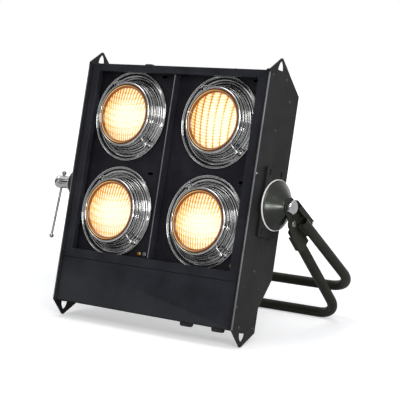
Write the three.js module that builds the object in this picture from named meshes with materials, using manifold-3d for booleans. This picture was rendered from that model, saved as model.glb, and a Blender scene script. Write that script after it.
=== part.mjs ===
// Audience blinder light: a leaning black sheet-metal casing with four round lamps in two columns,
// carried on a tilting tube yoke with a second tube stand hinged to it.
// Millimetres, +Z up, the lamps face -Y, and the light stands on its two lower ears and the stand's bar.
import * as THREE from 'three';
import { mergeVertices } from 'three/addons/utils/BufferGeometryUtils.js';
import Module from 'manifold-3d';

const wasm = await Module();
wasm.setup();

const { degToRad } = THREE.MathUtils;

// Overall sizes
const casingDepth = 97;
const leanAngle = degToRad(14);

// Gaps and sheet
const seatGap = 0.3;
const turnGap = 0.7;
const panelSheet = 2;
const coverSheet = 1.5;
const cutOverrun = 4;

// Side panels, drawn from the front lower corner of the casing
const lowerDepth = 68;
const cutCornerRise = 11;
const cutCornerDrop = 52;
const shoulderDrop = 31;
const panelFlangeWidth = 7.6;
const earTipRadius = 5;
const earDepth = 31;
const upperEarRise = 24;
const lowerEarDrop = 26.6;
const earHoleWidth = 16;
const upperEarHoleHeight = 17;
const lowerEarHoleHeight = 15;
const earHoleEdge = 2.5;
const earHoleCurveShare = 0.65;
const lowerEarStartShare = 1.2;
const lowerEarEndShare = 1.75;
const upperEarStartShare = 0.25;
const upperEarEndShare = 0.8;

// Front frame, lower cover and divider
const sideRailWidth = 25;
const topRailHeight = 15.5;
const ledgeHeight = 16;
const returnDepth = 11;
const coverReturnDepth = 14;
const coverFoldShare = 0.65;
const frameTopInset = 2;
const dividerThickness = 2.5;
const coverGap = 1;

// Lamp plates
const plateDepth = 20;
const plateHoleShare = 0.632;
const plateSlotLength = 12;
const plateSlotWidth = 5;
const plateSlotAcross = 60;
const plateSlotUp = 73;

// Lamps
const lensRadius = 57.2;
const lensCrown = 7.5;
const lensThickness = 3.5;
const bezelWall = 2.9;
const bezelRise = 23.5;
const bezelLip = 1.6;
const bezelLipReach = 2;
const holderFlange = 23.1;
const holderRise = 12;
const lowLampHeight = 177;
const lampGap = 11;
const columnGap = 38;
const lampSideMargin = 22;
const lampTopMargin = 11.5;
const ledgeOverlap = 5.5;
const reflectorDepth = 58;
const reflectorWall = 2.5;
const socketWidth = 36;
const socketHeight = 16;
const socketDepth = 14;
const socketTabWidth = 8;
const socketTabDepth = 4;
const clipBallRadius = 4.2;
const clipPostRadius = 2.6;
const clipRodRadius = 1.3;
const clipOut = 16.1;
const clipPostHeight = 11;
const clipAngle = degToRad(-43);

// Covers behind the lamps
const topCoverDepth = 50;
const rearCoverDrop = 8;
const rearCoverInset = 2;
const ventLength = 62;
const ventHeight = 4;
const ventPitch = 14;
const ventMargin = 21;
const ventRows = 5;
const ventAcross = 60;
const shelfRise = 2;
const shelfHoleRadius = 6;
const terminalLength = 120;
const terminalWidth = 22;
const terminalHeight = 22;
const terminalDepthPlace = 30;
const terminalRib = 4;
const terminalRibs = 5;
const leadRadius = 2.2;
const leadAcross = 78;
const leadDepthPlace = 84;
const leadCrossShare = 0.5;
const leadUpperShare = 0.35;
const leadLowerShare = 0.2;
const leadTurnShare = 1.5;
const glandAcross = 96;
const glandPitch = 69;
const glandDepthPlace = 20;
const glandRadius = 12;
const glandRibDepth = 1.2;
const glandDrop = 7;
const glandNutHeight = 6;
const glandBoreRadius = 7;
const glandShankRadius = 9.2;
const glandRibShares = [0.8, 0.6, 0.5, 0.4];

// Main pivot, on both sides
const pivotDepth = 67;
const pivotHeight = 223.5;
const pivotPlateRise = 6;
const pivotPlateAhead = 39;
const pivotPlateBehind = 12;
const pivotPlateBelow = 58;
const pivotPlateAbove = 62.5;
const pivotPlateSlot = 5;
const pivotPlateSlotInset = 9;
const ringRadius = 45;
const ringThickness = 2.5;
const coneHeight = 25;
const coneTipRadius = 14.5;
const pivotBoltRadius = 8;
const boltHeadRadius = 13.6;
const boltHeadHeight = 7.6;
const pivotNutHeight = 9;

// Locking handle on the left
const washerRadius = 22.5;
const washerThickness = 3;
const discRadius = 27;
const discThickness = 9;
const bossRadius = 12.4;
const bossLength = 49;
const bossDome = 4;
const edgeCutShare = 1 / 3;
const barRadius = 2.3;
const barBallRadius = 4.6;
const barLength = 124;
const barPlace = 36;
const barLean = degToRad(-4);
const studTipGap = 6;

// Yoke frames
const tubeRadius = 9.2;
const tubeWall = 1.6;
const bracketSheet = 2;
const bracketDepth = 10;
const yokeBendRadius = 56;
const standBendRadius = 45;
const yokeReach = 266;
const yokeAngle = degToRad(49.9);
const yokeBracketHalf = 16;
const yokeBracketLength = 68;
const yokeTubeStart = 36;
const yokeLipWidth = 11;
const yokeFlangeTop = 2;
const cornerCut = 6;
const hingeAlong = 27;
const hingeAcross = 17.2;
const hingeLugRadius = 10.5;
const hingeLugStartShare = 0.95;
const hingeLugEndShare = 1.6;
const lowerFlangeTop = 38;
const standAngle = degToRad(41);
const standBracketHalf = 15;
const standHeadRadius = 11.5;
const standShoulder = 22;
const standBracketLength = 62;
const standTubeStart = 25;
const hingeBoltRadius = 3;
const hingeHeadRadius = 6.2;
const hingeHeadHeight = 3.5;
const hingeNutHeight = 2.6;

// Facets
const lampFacets = 24;
const pivotFacets = 24;
const tubeFacets = 12;
const boltFacets = 10;
const smallFacets = 8;
const hexFacets = 6;
const ballSteps = 6;
const cornerSegments = 5;
const plateSegments = 8;
const bendSteps = 6;
const leadSteps = 26;
const leadCurveSegments = 3;

// Places worked out from the sizes
const bezelRadius = lensRadius + seatGap + bezelWall;
const bezelLipRadius = lensRadius - bezelLipReach;
const holderRadius = bezelRadius + holderFlange;
const plateHoleRadius = bezelRadius + holderFlange * plateHoleShare;
const clipReach = bezelRadius + clipOut;
const lampPitch = holderRadius * 2 + lampGap;
const lampAcross = holderRadius + columnGap / 2;
const halfWidth = lampAcross + holderRadius + lampSideMargin;
const innerHalf = halfWidth - panelSheet - seatGap;
const casingHeight = lowLampHeight + lampPitch + holderRadius + lampTopMargin;
const shoulderHeight = casingHeight - shoulderDrop;
const rearCoverTop = shoulderHeight - rearCoverDrop;
const openingLow = lowLampHeight - holderRadius + ledgeOverlap;
const lowerCoverHeight = openingLow - ledgeHeight - coverGap;
const shelfHeight = lowerCoverHeight + shelfRise;
const cutCornerHigh = shelfHeight + cutCornerRise;
const cutCornerLow = cutCornerHigh - cutCornerDrop;
const frameFront = panelSheet + seatGap;
const frameBack = frameFront + coverSheet;
const openingHalf = halfWidth - sideRailWidth;
const frameTop = casingHeight - frameTopInset;
const openingHigh = casingHeight - topRailHeight;
const rearFace = casingDepth - rearCoverInset;
const leanSin = Math.sin(leanAngle);
const leanCos = Math.cos(leanAngle);
const pivotPlateFront = pivotDepth - pivotPlateAhead;
const pivotPlateRear = pivotDepth + pivotPlateBehind;
const pivotPlateLow = pivotHeight - pivotPlateBelow;
const pivotPlateHigh = pivotHeight + pivotPlateAbove;
const ringInner = halfWidth + pivotPlateRise;
const coneBase = ringInner + ringThickness + seatGap;
const coneTip = coneBase + coneHeight;
const yokePlateInner = coneTip + seatGap;
const yokePlateOuter = yokePlateInner + bracketSheet;
const yokeTubeAcross = yokePlateOuter + seatGap + tubeRadius;
const yokeTubeShift = bracketSheet + seatGap + tubeRadius - yokeBracketHalf;
const yokeLipOuter = yokePlateInner + bracketDepth;
const standPlateOuter = yokePlateInner - seatGap;
const standPlateInner = standPlateOuter - bracketSheet;
const standTubeAcross = standPlateInner - seatGap - tubeRadius;
const standFlangeInner = standPlateOuter - bracketDepth;
const washerInner = yokePlateOuter + seatGap;
const discInner = washerInner + washerThickness + seatGap;
const bossEnd = discInner + discThickness + bossLength;
const earCentreLow = -(lowerEarDrop - earTipRadius);
const casingLift = earTipRadius + earDepth * leanSin - earCentreLow * leanCos;
const pivotBehind = pivotDepth * leanCos + pivotHeight * leanSin;
const pivotAbove = casingLift - pivotDepth * leanSin + pivotHeight * leanCos;
const yokeOuter = yokeTubeAcross + tubeRadius;
const yokeBarBehind = yokeReach * Math.sin(yokeAngle) + yokeTubeShift * Math.cos(yokeAngle);
const yokeRear = pivotBehind + yokeBarBehind + tubeRadius;
const hingeAbove = pivotAbove - hingeAlong * Math.cos(yokeAngle) - hingeAcross * Math.sin(yokeAngle);
const standTubeShift = standBracketHalf - bracketSheet - seatGap - tubeRadius;
const standReach = (hingeAbove + standTubeShift * Math.sin(standAngle) - tubeRadius) / Math.cos(standAngle);

// Materials
function paint(color, roughness, metalness) {
  return new THREE.MeshStandardMaterial({ color, roughness, metalness });
}

const blackCoat = paint(0x2f3033, 0.55, 0.2);
const railCoat = paint(0x404247, 0.5, 0.2);
const tubeCoat = paint(0x32322b, 0.5, 0.3);
const coneCoat = paint(0x3c3e3c, 0.35, 0.7);
const chrome = paint(0xd8d8d6, 0.12, 1);
const steel = paint(0xa8a8a6, 0.35, 1);
const paleNylon = paint(0xe8e8e4, 0.5, 0);
const glass = paint(0xffe2a8, 0.1, 0);
const silvering = paint(0xb8b8b8, 0.2, 0.9);
const ceramic = paint(0xe6e0d2, 0.7, 0);
const blackPlastic = paint(0x1c1c1e, 0.6, 0);
const leadSleeve = paint(0x8a3a28, 0.6, 0);

// Joining and cutting closed shapes
function solidOf(geometry) {
  const bare = geometry.index ? geometry.toNonIndexed() : geometry.clone();
  bare.deleteAttribute('normal');
  bare.deleteAttribute('uv');
  const merged = mergeVertices(bare);
  const vertProperties = merged.attributes.position.array;
  const triVerts = new Uint32Array(merged.index.array);
  return new wasm.Manifold(new wasm.Mesh({ numProp: 3, vertProperties, triVerts }));
}

function shapeOf(solid) {
  const mesh = solid.getMesh();
  const geometry = new THREE.BufferGeometry();
  geometry.setAttribute('position', new THREE.BufferAttribute(mesh.vertProperties, 3));
  geometry.setIndex(new THREE.BufferAttribute(mesh.triVerts, 1));
  return geometry;
}

function join(first, ...others) {
  return shapeOf(others.reduce((sum, part) => sum.add(solidOf(part)), solidOf(first)));
}

function cut(first, ...tools) {
  return shapeOf(tools.reduce((left, tool) => left.subtract(solidOf(tool)), solidOf(first)));
}

// A box from its corners
function block(x0, x1, y0, y1, z0, z1) {
  const box = new THREE.BoxGeometry(Math.abs(x1 - x0), Math.abs(y1 - y0), Math.abs(z1 - z0));
  return box.translate((x0 + x1) / 2, (y0 + y1) / 2, (z0 + z1) / 2);
}

// A shape drawn in depth and height, swept across the casing
function acrossSheet(shape, x0, x1, curveSegments = cornerSegments) {
  const low = Math.min(x0, x1);
  const depth = Math.abs(x1 - x0);
  const sheet = new THREE.ExtrudeGeometry(shape, { depth, bevelEnabled: false, curveSegments });
  const axes = new THREE.Matrix4().makeBasis(
    new THREE.Vector3(0, 1, 0),
    new THREE.Vector3(0, 0, 1),
    new THREE.Vector3(1, 0, 0),
  );
  return sheet.applyMatrix4(axes).translate(low, 0, 0);
}

function outline(points) {
  return new THREE.Shape(points.map(([u, v]) => new THREE.Vector2(u, v)));
}

// A profile of radius and place turned about Y, or about X or Z when the axis says so
function turned(profile, facets, axis = 'y') {
  const points = profile.map(([r, h]) => new THREE.Vector2(r, h));
  const area = THREE.ShapeUtils.area(points);
  if (area < 0) points.reverse();
  const closed = points[0].x > 0 ? [...points, points[0]] : points;
  const shape = new THREE.LatheGeometry(closed, facets);
  if (axis === 'x') shape.rotateZ(-Math.PI / 2);
  if (axis === 'z') shape.rotateX(Math.PI / 2);
  return shape;
}

// A round or six-sided bar along X
function barAcross(radius, x0, x1, facets) {
  const bar = new THREE.CylinderGeometry(radius, radius, Math.abs(x1 - x0), facets);
  return bar.rotateZ(-Math.PI / 2).translate((x0 + x1) / 2, 0, 0);
}

function addPiece(group, name, geometry, material) {
  const piece = new THREE.Mesh(geometry, material);
  piece.name = name;
  group.add(piece);
  return piece;
}

// Groups: the casing leans back, the yoke turns on the main pivot, and the stand hangs from the yoke
const blinder = new THREE.Group();
const casing = new THREE.Group();
casing.rotation.x = -leanAngle;
casing.position.set((bossEnd - yokeOuter) / 2, -yokeRear / 2, casingLift);
blinder.add(casing);

const yoke = new THREE.Group();
yoke.rotation.x = yokeAngle;
yoke.position.set(casing.position.x, casing.position.y + pivotBehind, pivotAbove);
blinder.add(yoke);

const stand = new THREE.Group();
stand.rotation.x = standAngle - yokeAngle;
stand.position.set(0, -hingeAcross, -hingeAlong);
yoke.add(stand);

const handle = new THREE.Group();
handle.rotation.x = barLean;
handle.position.set(0, pivotDepth, pivotHeight);
casing.add(handle);

// Side panels with their rigging ears
function earHole(side, base, height) {
  const half = earHoleWidth / 2;
  const shape = new THREE.Shape();
  shape.moveTo(earDepth - half, base);
  shape.lineTo(earDepth + half, base);
  shape.quadraticCurveTo(earDepth + half, base + height * earHoleCurveShare, earDepth, base + height);
  shape.quadraticCurveTo(earDepth - half, base + height * earHoleCurveShare, earDepth - half, base);
  return acrossSheet(shape, side * (halfWidth - cutOverrun), side * (halfWidth + cutOverrun));
}

function sidePanel(side) {
  const upperCentre = casingHeight + upperEarRise - earTipRadius;
  const shape = new THREE.Shape();
  shape.moveTo(0, casingHeight);
  shape.lineTo(0, 0);
  const [lowStart, lowEnd] = [lowerEarStartShare, lowerEarEndShare].map((share) => share * Math.PI);
  shape.absarc(earDepth, earCentreLow, earTipRadius, lowStart, lowEnd, false);
  shape.lineTo(lowerDepth, 0);
  shape.lineTo(lowerDepth, cutCornerLow);
  shape.lineTo(casingDepth, cutCornerHigh);
  shape.lineTo(casingDepth, shoulderHeight);
  const [highStart, highEnd] = [upperEarStartShare, upperEarEndShare].map((share) => share * Math.PI);
  shape.absarc(earDepth, upperCentre, earTipRadius, highStart, highEnd, false);
  shape.closePath();
  const outer = side * halfWidth;
  const panel = acrossSheet(shape, outer - side * panelSheet, outer);
  const flange = block(outer - side * panelFlangeWidth, outer, 0, panelSheet, 0, casingHeight);
  const over = side * cutOverrun;
  const bore = barAcross(pivotBoltRadius + seatGap, outer - over, outer + over, boltFacets);
  return cut(
    join(panel, flange),
    bore.translate(0, pivotDepth, pivotHeight),
    earHole(side, casingHeight + earHoleEdge, upperEarHoleHeight),
    earHole(side, -earHoleEdge, -lowerEarHoleHeight),
  );
}

addPiece(casing, 'left_side_panel', sidePanel(-1), blackCoat);
addPiece(casing, 'right_side_panel', sidePanel(1), blackCoat);

// Front frame round the lamp opening, with its edges folded back
function frontFrame() {
  const face = block(-innerHalf, innerHalf, frameFront, frameBack, lowerCoverHeight + coverGap, frameTop);
  const fold = block(
    -openingHalf - coverSheet,
    openingHalf + coverSheet,
    frameFront,
    frameBack + returnDepth,
    openingLow - coverSheet,
    openingHigh + coverSheet,
  );
  const opening = block(
    -openingHalf,
    openingHalf,
    frameFront - cutOverrun,
    frameBack + returnDepth + cutOverrun,
    openingLow,
    openingHigh,
  );
  return cut(join(face, fold), opening);
}

addPiece(casing, 'front_frame', frontFrame(), railCoat);

const dividerHalf = dividerThickness / 2;
addPiece(
  casing,
  'centre_divider',
  block(
    -dividerHalf,
    dividerHalf,
    frameFront,
    plateDepth - seatGap,
    openingLow + seatGap,
    openingHigh - seatGap,
  ),
  railCoat,
);

// Plain cover below the lamps, folded back along its top and bottom
function lowerFrontCover() {
  const low = coverSheet + seatGap;
  const face = block(-innerHalf, innerHalf, frameFront, frameBack, low, lowerCoverHeight);
  const back = frameFront + coverReturnDepth;
  const lowBack = back - coverReturnDepth * coverFoldShare;
  const under = lowerCoverHeight - coverSheet;
  const topFold = block(-innerHalf, innerHalf, frameFront, back, under, lowerCoverHeight);
  const lowFold = block(-innerHalf, innerHalf, frameFront, lowBack, low, low + coverSheet);
  return join(face, topFold, lowFold);
}

addPiece(casing, 'lower_front_cover', lowerFrontCover(), railCoat);

// Lamp plates, each with two round holes and a small slot above each lamp
const lampHeights = [lowLampHeight + lampPitch, lowLampHeight];

function lampPlate(side) {
  const inner = side * (dividerHalf + seatGap);
  const outer = side * innerHalf;
  const low = shelfHeight + coverSheet + seatGap;
  const high = frameTop - coverSheet - seatGap;
  const plate = block(inner, outer, plateDepth, plateDepth + coverSheet, low, high);
  const plateCut = cutOverrun * 2;
  const tools = [];
  for (const height of lampHeights) {
    const hole = new THREE.CylinderGeometry(plateHoleRadius, plateHoleRadius, plateCut, lampFacets);
    tools.push(hole.translate(side * lampAcross, plateDepth, height));
    const slotX = side * lampAcross + plateSlotAcross;
    const slotZ = height + plateSlotUp;
    tools.push(
      block(
        slotX,
        slotX + plateSlotLength,
        plateDepth - cutOverrun,
        plateDepth + cutOverrun,
        slotZ,
        slotZ + plateSlotWidth,
      ),
    );
  }
  return cut(plate, ...tools);
}

addPiece(casing, 'left_lamp_plate', lampPlate(-1), blackCoat);
addPiece(casing, 'right_lamp_plate', lampPlate(1), blackCoat);

// Lamp holder section: shares of the way from the bezel out to the rim, and of the rise over the plate
const flangeFaceShare = 0.14;
const bezelSeatShare = -0.34;
const holderSectionShares = [
  [1, 0.3],
  [0.91, 0.28],
  [0.874, 0.16],
  [0.584, flangeFaceShare],
  [0.458, -0.33],
  [0.375, bezelSeatShare],
  [0.339, -0.05],
  [0.259, -0.05],
  [0.216, -0.28],
  [0.122, -0.25],
  [0.089, 0.85],
  [0.028, 0.9],
  [0.02, 0.8],
  [0.028, -0.42],
  [0.516, -0.5],
  [0.606, 0.025],
  [0.964, 0.025],
];

function holderGeometry() {
  const section = holderSectionShares.map(([out, rise]) => [
    bezelRadius + out * holderFlange,
    plateDepth - rise * holderRise,
  ]);
  return turned(section, lampFacets);
}

// Bezel that clamps the lens, from inside the holder's wall to a lip over the glass
function bezelGeometry() {
  const front = plateDepth - bezelRise;
  const back = plateDepth - holderRise * bezelSeatShare;
  const inner = lensRadius + seatGap;
  return turned(
    [
      [bezelRadius, back],
      [bezelRadius, front + bezelLip * 2],
      [bezelRadius - bezelLip, front],
      [bezelLipRadius, front],
      [bezelLipRadius, front + bezelLip],
      [inner, front + bezelLip],
      [inner, back],
    ],
    lampFacets,
  );
}

const lensBack = plateDepth - bezelRise + bezelLip + seatGap;
const lensCrownShares = [
  [0, 1],
  [0.35, 0.9],
  [0.65, 0.62],
  [0.85, 0.28],
];

function lensGeometry() {
  const rim = lensBack;
  const front = lensCrownShares.map(([r, rise]) => [r * bezelLipRadius, rim - rise * lensCrown]);
  const back = front.map(([r, y]) => [r, y + lensThickness]).reverse();
  const edge = [
    [bezelLipRadius - seatGap, rim],
    [lensRadius, rim],
    [lensRadius, rim + lensThickness],
  ];
  return turned([...front, ...edge, ...back], lampFacets);
}

const reflectorShares = [
  [0.985, 0],
  [0.96, 0.1],
  [0.86, 0.38],
  [0.66, 0.68],
  [0.4, 0.9],
  [0, 1],
];

function reflectorGeometry() {
  const rim = lensBack + lensThickness + seatGap;
  const outer = reflectorShares.map(([r, d]) => [r * lensRadius, rim + d * reflectorDepth]);
  const inner = reflectorShares.map(([r, d]) => [
    Math.max(r * lensRadius - reflectorWall, 0),
    rim + d * (reflectorDepth - reflectorWall),
  ]);
  return turned([...outer, ...inner.reverse()], lampFacets);
}

const socketFront = lensBack + lensThickness + seatGap + reflectorDepth + seatGap;

function socketGeometry() {
  const half = socketWidth / 2;
  const tall = socketHeight / 2;
  const back = socketFront + socketDepth;
  const body = block(-half, half, socketFront, back, -tall, tall);
  const tabs = [-1, 1].map((side) => {
    const x = (side * half) / 2;
    const tab = socketTabWidth / 2;
    return block(x - tab, x + tab, back - coverSheet, back + socketTabDepth, -tab, tab);
  });
  return join(body, ...tabs);
}

// Screw with a round head and a rod that hooks over the bezel
function clipGeometry() {
  const foot = plateDepth - holderRise * flangeFaceShare - seatGap;
  const post = new THREE.CylinderGeometry(clipPostRadius, clipPostRadius, clipPostHeight, smallFacets);
  post.translate(0, foot - clipPostHeight / 2, 0);
  const ball = new THREE.SphereGeometry(clipBallRadius, smallFacets, smallFacets / 2);
  ball.translate(0, foot - clipPostHeight, 0);
  const reach = clipReach - bezelRadius - seatGap * 2;
  const rod = new THREE.CylinderGeometry(clipRodRadius, clipRodRadius, reach, smallFacets / 2);
  rod.rotateZ(Math.PI / 2).translate(-reach / 2, foot - clipPostHeight, 0);
  return join(post, ball, rod);
}

let lampNumber = 0;
for (const height of lampHeights) {
  for (const side of [-1, 1]) {
    lampNumber += 1;
    const lamp = new THREE.Group();
    lamp.position.set(side * lampAcross, 0, height);
    casing.add(lamp);
    addPiece(lamp, 'lamp_holder_' + lampNumber, holderGeometry(), chrome);
    addPiece(lamp, 'lamp_bezel_' + lampNumber, bezelGeometry(), chrome);
    addPiece(lamp, 'lamp_lens_' + lampNumber, lensGeometry(), glass);
    addPiece(lamp, 'lamp_reflector_' + lampNumber, reflectorGeometry(), silvering);
    addPiece(lamp, 'lamp_socket_' + lampNumber, socketGeometry(), ceramic);
    const clip = addPiece(lamp, 'lamp_clip_' + lampNumber, clipGeometry(), chrome);
    clip.position.set(clipReach * Math.cos(clipAngle), 0, clipReach * Math.sin(clipAngle));
    clip.rotation.y = -clipAngle;
  }
}

// Top cover, flat and then sloped down to the rear
function topCover() {
  const high = casingHeight - frameTopInset;
  const front = frameBack + seatGap;
  const under = high - coverSheet;
  const shape = outline([
    [front, under],
    [topCoverDepth, under],
    [rearFace - coverSheet, rearCoverTop],
    [rearFace, rearCoverTop + coverSheet],
    [topCoverDepth, high],
    [front, high],
  ]);
  return acrossSheet(shape, -innerHalf, innerHalf);
}

addPiece(casing, 'top_cover', topCover(), blackCoat);

// Rear cover with rows of vents
function rearCover() {
  const cover = block(
    -innerHalf,
    innerHalf,
    rearFace - coverSheet,
    rearFace,
    cutCornerHigh + coverGap,
    rearCoverTop - seatGap,
  );
  const vents = [];
  for (let row = 0; row < ventRows; row += 1) {
    const low = rearCoverTop - ventMargin - ventHeight - row * ventPitch;
    for (const side of [-1, 1]) {
      const middle = side * ventAcross;
      const half = ventLength / 2;
      const front = rearFace - cutOverrun;
      vents.push(block(middle - half, middle + half, front, rearFace + cutOverrun, low, low + ventHeight));
    }
  }
  return cut(cover, ...vents);
}

addPiece(casing, 'rear_cover', rearCover(), blackCoat);

// Lower rear cover: follows the cut corner of the side panels and runs forward under the casing
const lowerRearFace = lowerDepth - rearCoverInset;

function glandPlaces() {
  return [0, 1].map((index) => glandAcross + index * glandPitch);
}

function lowerRearCover() {
  const shape = outline([
    [frameFront, 0],
    [lowerRearFace, 0],
    [lowerRearFace, cutCornerLow],
    [rearFace, cutCornerHigh],
    [rearFace - coverSheet, cutCornerHigh],
    [lowerRearFace - coverSheet, cutCornerLow + coverSheet / 2],
    [lowerRearFace - coverSheet, coverSheet],
    [frameFront, coverSheet],
  ]);
  const holes = glandPlaces().map((place) => {
    const radius = glandShankRadius + seatGap;
    const hole = new THREE.CylinderGeometry(radius, radius, cutOverrun * 2, boltFacets);
    return hole.rotateX(Math.PI / 2).translate(place, glandDepthPlace, 0);
  });
  return cut(acrossSheet(shape, -innerHalf, innerHalf), ...holes);
}

addPiece(casing, 'lower_rear_cover', lowerRearCover(), blackCoat);

// Shelf between the lamp bay and the wiring bay, with a hole for each column's lead
const cornerSlope = (casingDepth - lowerDepth) / (cutCornerHigh - cutCornerLow);
const shelfBack = rearFace - coverSheet - (cutCornerHigh - shelfHeight) * cornerSlope - seatGap * 2;
const shelfHoleDepth = shelfBack - shelfHoleRadius * 2;

function compartmentShelf() {
  const low = shelfHeight;
  const front = frameFront + coverReturnDepth + seatGap;
  const shelf = block(-innerHalf, innerHalf, front, shelfBack, low, low + coverSheet);
  const holes = [-1, 1].map((side) => {
    const hole = new THREE.CylinderGeometry(shelfHoleRadius, shelfHoleRadius, cutOverrun * 2, boltFacets);
    return hole.rotateX(Math.PI / 2).translate(side * leadAcross, shelfHoleDepth, low);
  });
  return cut(shelf, ...holes);
}

addPiece(casing, 'compartment_shelf', compartmentShelf(), blackCoat);

// Terminal block on the floor of the wiring bay
const terminalLow = coverSheet + seatGap;
const terminalHigh = terminalLow + terminalHeight;

function terminalBlock() {
  const half = terminalLength / 2;
  const back = terminalDepthPlace + terminalWidth;
  const body = block(-half, half, terminalDepthPlace, back, terminalLow, terminalHigh);
  const pitch = terminalLength / terminalRibs;
  const ribs = [];
  for (let index = 0; index <= terminalRibs; index += 1) {
    const place = Math.min(Math.max(-half + index * pitch, -half + coverSheet), half - coverSheet);
    ribs.push(
      block(
        place - coverSheet,
        place + coverSheet,
        terminalDepthPlace,
        back,
        terminalHigh - coverSheet,
        terminalHigh + terminalRib,
      ),
    );
  }
  return join(body, ...ribs);
}

addPiece(casing, 'terminal_block', terminalBlock(), ceramic);

// One lead for each column, from the upper lamp's socket past the lower one to the terminal block
function columnLead(side) {
  const start = lowLampHeight + lampPitch - socketHeight / 2 - seatGap;
  const middle = terminalDepthPlace + terminalWidth / 2;
  const pitch = terminalLength / terminalRibs;
  const socketBack = socketFront + socketDepth / 2;
  const crossing = (lampAcross + leadAcross) * leadCrossShare;
  const places = [
    [side * lampAcross, socketBack, start],
    [side * lampAcross, socketBack, start - socketHeight],
    [side * crossing, leadDepthPlace, start - lampPitch * leadUpperShare],
    [side * leadAcross, leadDepthPlace, lowLampHeight + socketHeight],
    [side * leadAcross, leadDepthPlace, lowLampHeight - lampPitch * leadLowerShare],
    [side * leadAcross, shelfHoleDepth, shelfHeight + shelfHoleRadius * 2],
    [side * leadAcross, shelfHoleDepth, shelfHeight - shelfHoleRadius],
    [side * pitch * leadTurnShare, middle + terminalWidth / 4, terminalHigh + terminalHeight],
    [side * pitch, middle, terminalHigh + terminalRib * 2],
    [side * pitch, middle, terminalHigh + seatGap],
  ];
  const route = new THREE.CatmullRomCurve3(places.map(([x, y, z]) => new THREE.Vector3(x, y, z)));
  const section = new THREE.Shape().absarc(0, 0, leadRadius, 0, Math.PI * 2, false);
  const sweep = { steps: leadSteps, extrudePath: route, curveSegments: leadCurveSegments };
  return new THREE.ExtrudeGeometry(section, sweep);
}

addPiece(casing, 'left_column_lead', columnLead(-1), leadSleeve);
addPiece(casing, 'right_column_lead', columnLead(1), leadSleeve);

// Cable glands in the floor of the wiring bay
function glandGeometry() {
  const slim = glandRadius - glandRibDepth;
  const inside = coverSheet + seatGap;
  const [ribEnd, ribStart, grooveBase, grooveEnd] = glandRibShares.map((share) => -glandDrop * share);
  return turned(
    [
      [glandBoreRadius, -glandDrop],
      [slim, -glandDrop],
      [glandRadius, ribEnd],
      [glandRadius, ribStart],
      [slim, grooveBase],
      [glandRadius, grooveEnd],
      [glandRadius, -seatGap],
      [glandShankRadius, -seatGap],
      [glandShankRadius, inside],
      [glandRadius, inside],
      [glandRadius, inside + glandNutHeight],
      [glandBoreRadius, inside + glandNutHeight],
    ],
    boltFacets,
    'z',
  );
}

glandPlaces().forEach((place, index) => {
  const gland = addPiece(casing, 'cable_gland_' + (index + 1), glandGeometry(), blackPlastic);
  gland.position.set(place, glandDepthPlace, 0);
});

// Pivot plates, rings and cones
function pivotPlate(side) {
  const inner = side * (halfWidth + seatGap);
  const outer = side * (ringInner - seatGap);
  const plate = block(inner, outer, pivotPlateFront, pivotPlateRear, pivotPlateLow, pivotPlateHigh);
  const over = side * cutOverrun;
  const bore = barAcross(pivotBoltRadius + seatGap, inner - over, outer + over, boltFacets);
  const tools = [bore.translate(0, pivotDepth, pivotHeight)];
  const slot = pivotPlateSlot / 2;
  for (const y of [pivotPlateFront + pivotPlateSlotInset, pivotPlateRear - pivotPlateSlotInset]) {
    for (const z of [pivotPlateLow + pivotPlateSlotInset, pivotPlateHigh - pivotPlateSlotInset]) {
      tools.push(
        block(
          outer - (side * pivotPlateRise) / 2,
          outer + over,
          y - slot,
          y + slot,
          z - slot * 2,
          z + slot * 2,
        ),
      );
    }
  }
  return cut(plate, ...tools);
}

const coneShares = [
  [0.95, 0],
  [0.93, 0.08],
  [0.77, 0.32],
  [0.56, 0.62],
  [0.41, 0.86],
];

function cone(side) {
  const bore = pivotBoltRadius + seatGap;
  const flank = coneShares.map(([r, h]) => [r * ringRadius, side * (coneBase + h * coneHeight)]);
  return turned(
    [[bore, side * coneBase], ...flank, [coneTipRadius, side * coneTip], [bore, side * coneTip]],
    pivotFacets,
    'x',
  );
}

function ring(side) {
  const bore = pivotBoltRadius + seatGap;
  const inner = side * ringInner;
  const outer = side * (ringInner + ringThickness);
  return turned(
    [
      [bore, inner],
      [ringRadius, inner],
      [ringRadius, outer],
      [bore, outer],
    ],
    pivotFacets,
    'x',
  );
}

for (const [name, side] of [['left', -1], ['right', 1]]) {
  addPiece(casing, name + '_pivot_plate', pivotPlate(side), blackCoat);
  addPiece(casing, name + '_pivot_ring', ring(side), paleNylon).position.set(0, pivotDepth, pivotHeight);
  addPiece(casing, name + '_pivot_cone', cone(side), coneCoat).position.set(0, pivotDepth, pivotHeight);
}

// Pivot bolt with its nut on the right, stud with its head inside the casing on the left
const nutOuter = halfWidth - panelSheet - seatGap;
const nutInner = nutOuter - pivotNutHeight;
const headInner = yokePlateOuter + seatGap;

function pivotBolt() {
  const head = barAcross(boltHeadRadius, headInner, headInner + boltHeadHeight, hexFacets);
  const shankEnd = headInner + boltHeadHeight / 2;
  return join(barAcross(pivotBoltRadius, nutInner - cutOverrun, shankEnd, boltFacets), head);
}

function pivotNut() {
  const bore = barAcross(pivotBoltRadius + seatGap, nutInner - cutOverrun, nutOuter + cutOverrun, boltFacets);
  return cut(barAcross(boltHeadRadius, nutInner, nutOuter, hexFacets), bore);
}

const studEnd = discInner + barPlace + discThickness - barRadius - studTipGap;

function pivotStud() {
  const head = barAcross(boltHeadRadius, -nutInner, -nutOuter, hexFacets);
  return join(barAcross(pivotBoltRadius, -nutInner - pivotNutHeight / 2, -studEnd, boltFacets), head);
}

addPiece(casing, 'right_pivot_bolt', pivotBolt(), chrome).position.set(0, pivotDepth, pivotHeight);
addPiece(casing, 'right_pivot_nut', pivotNut(), steel).position.set(0, pivotDepth, pivotHeight);
addPiece(casing, 'left_pivot_stud', pivotStud(), steel).position.set(0, pivotDepth, pivotHeight);

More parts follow.
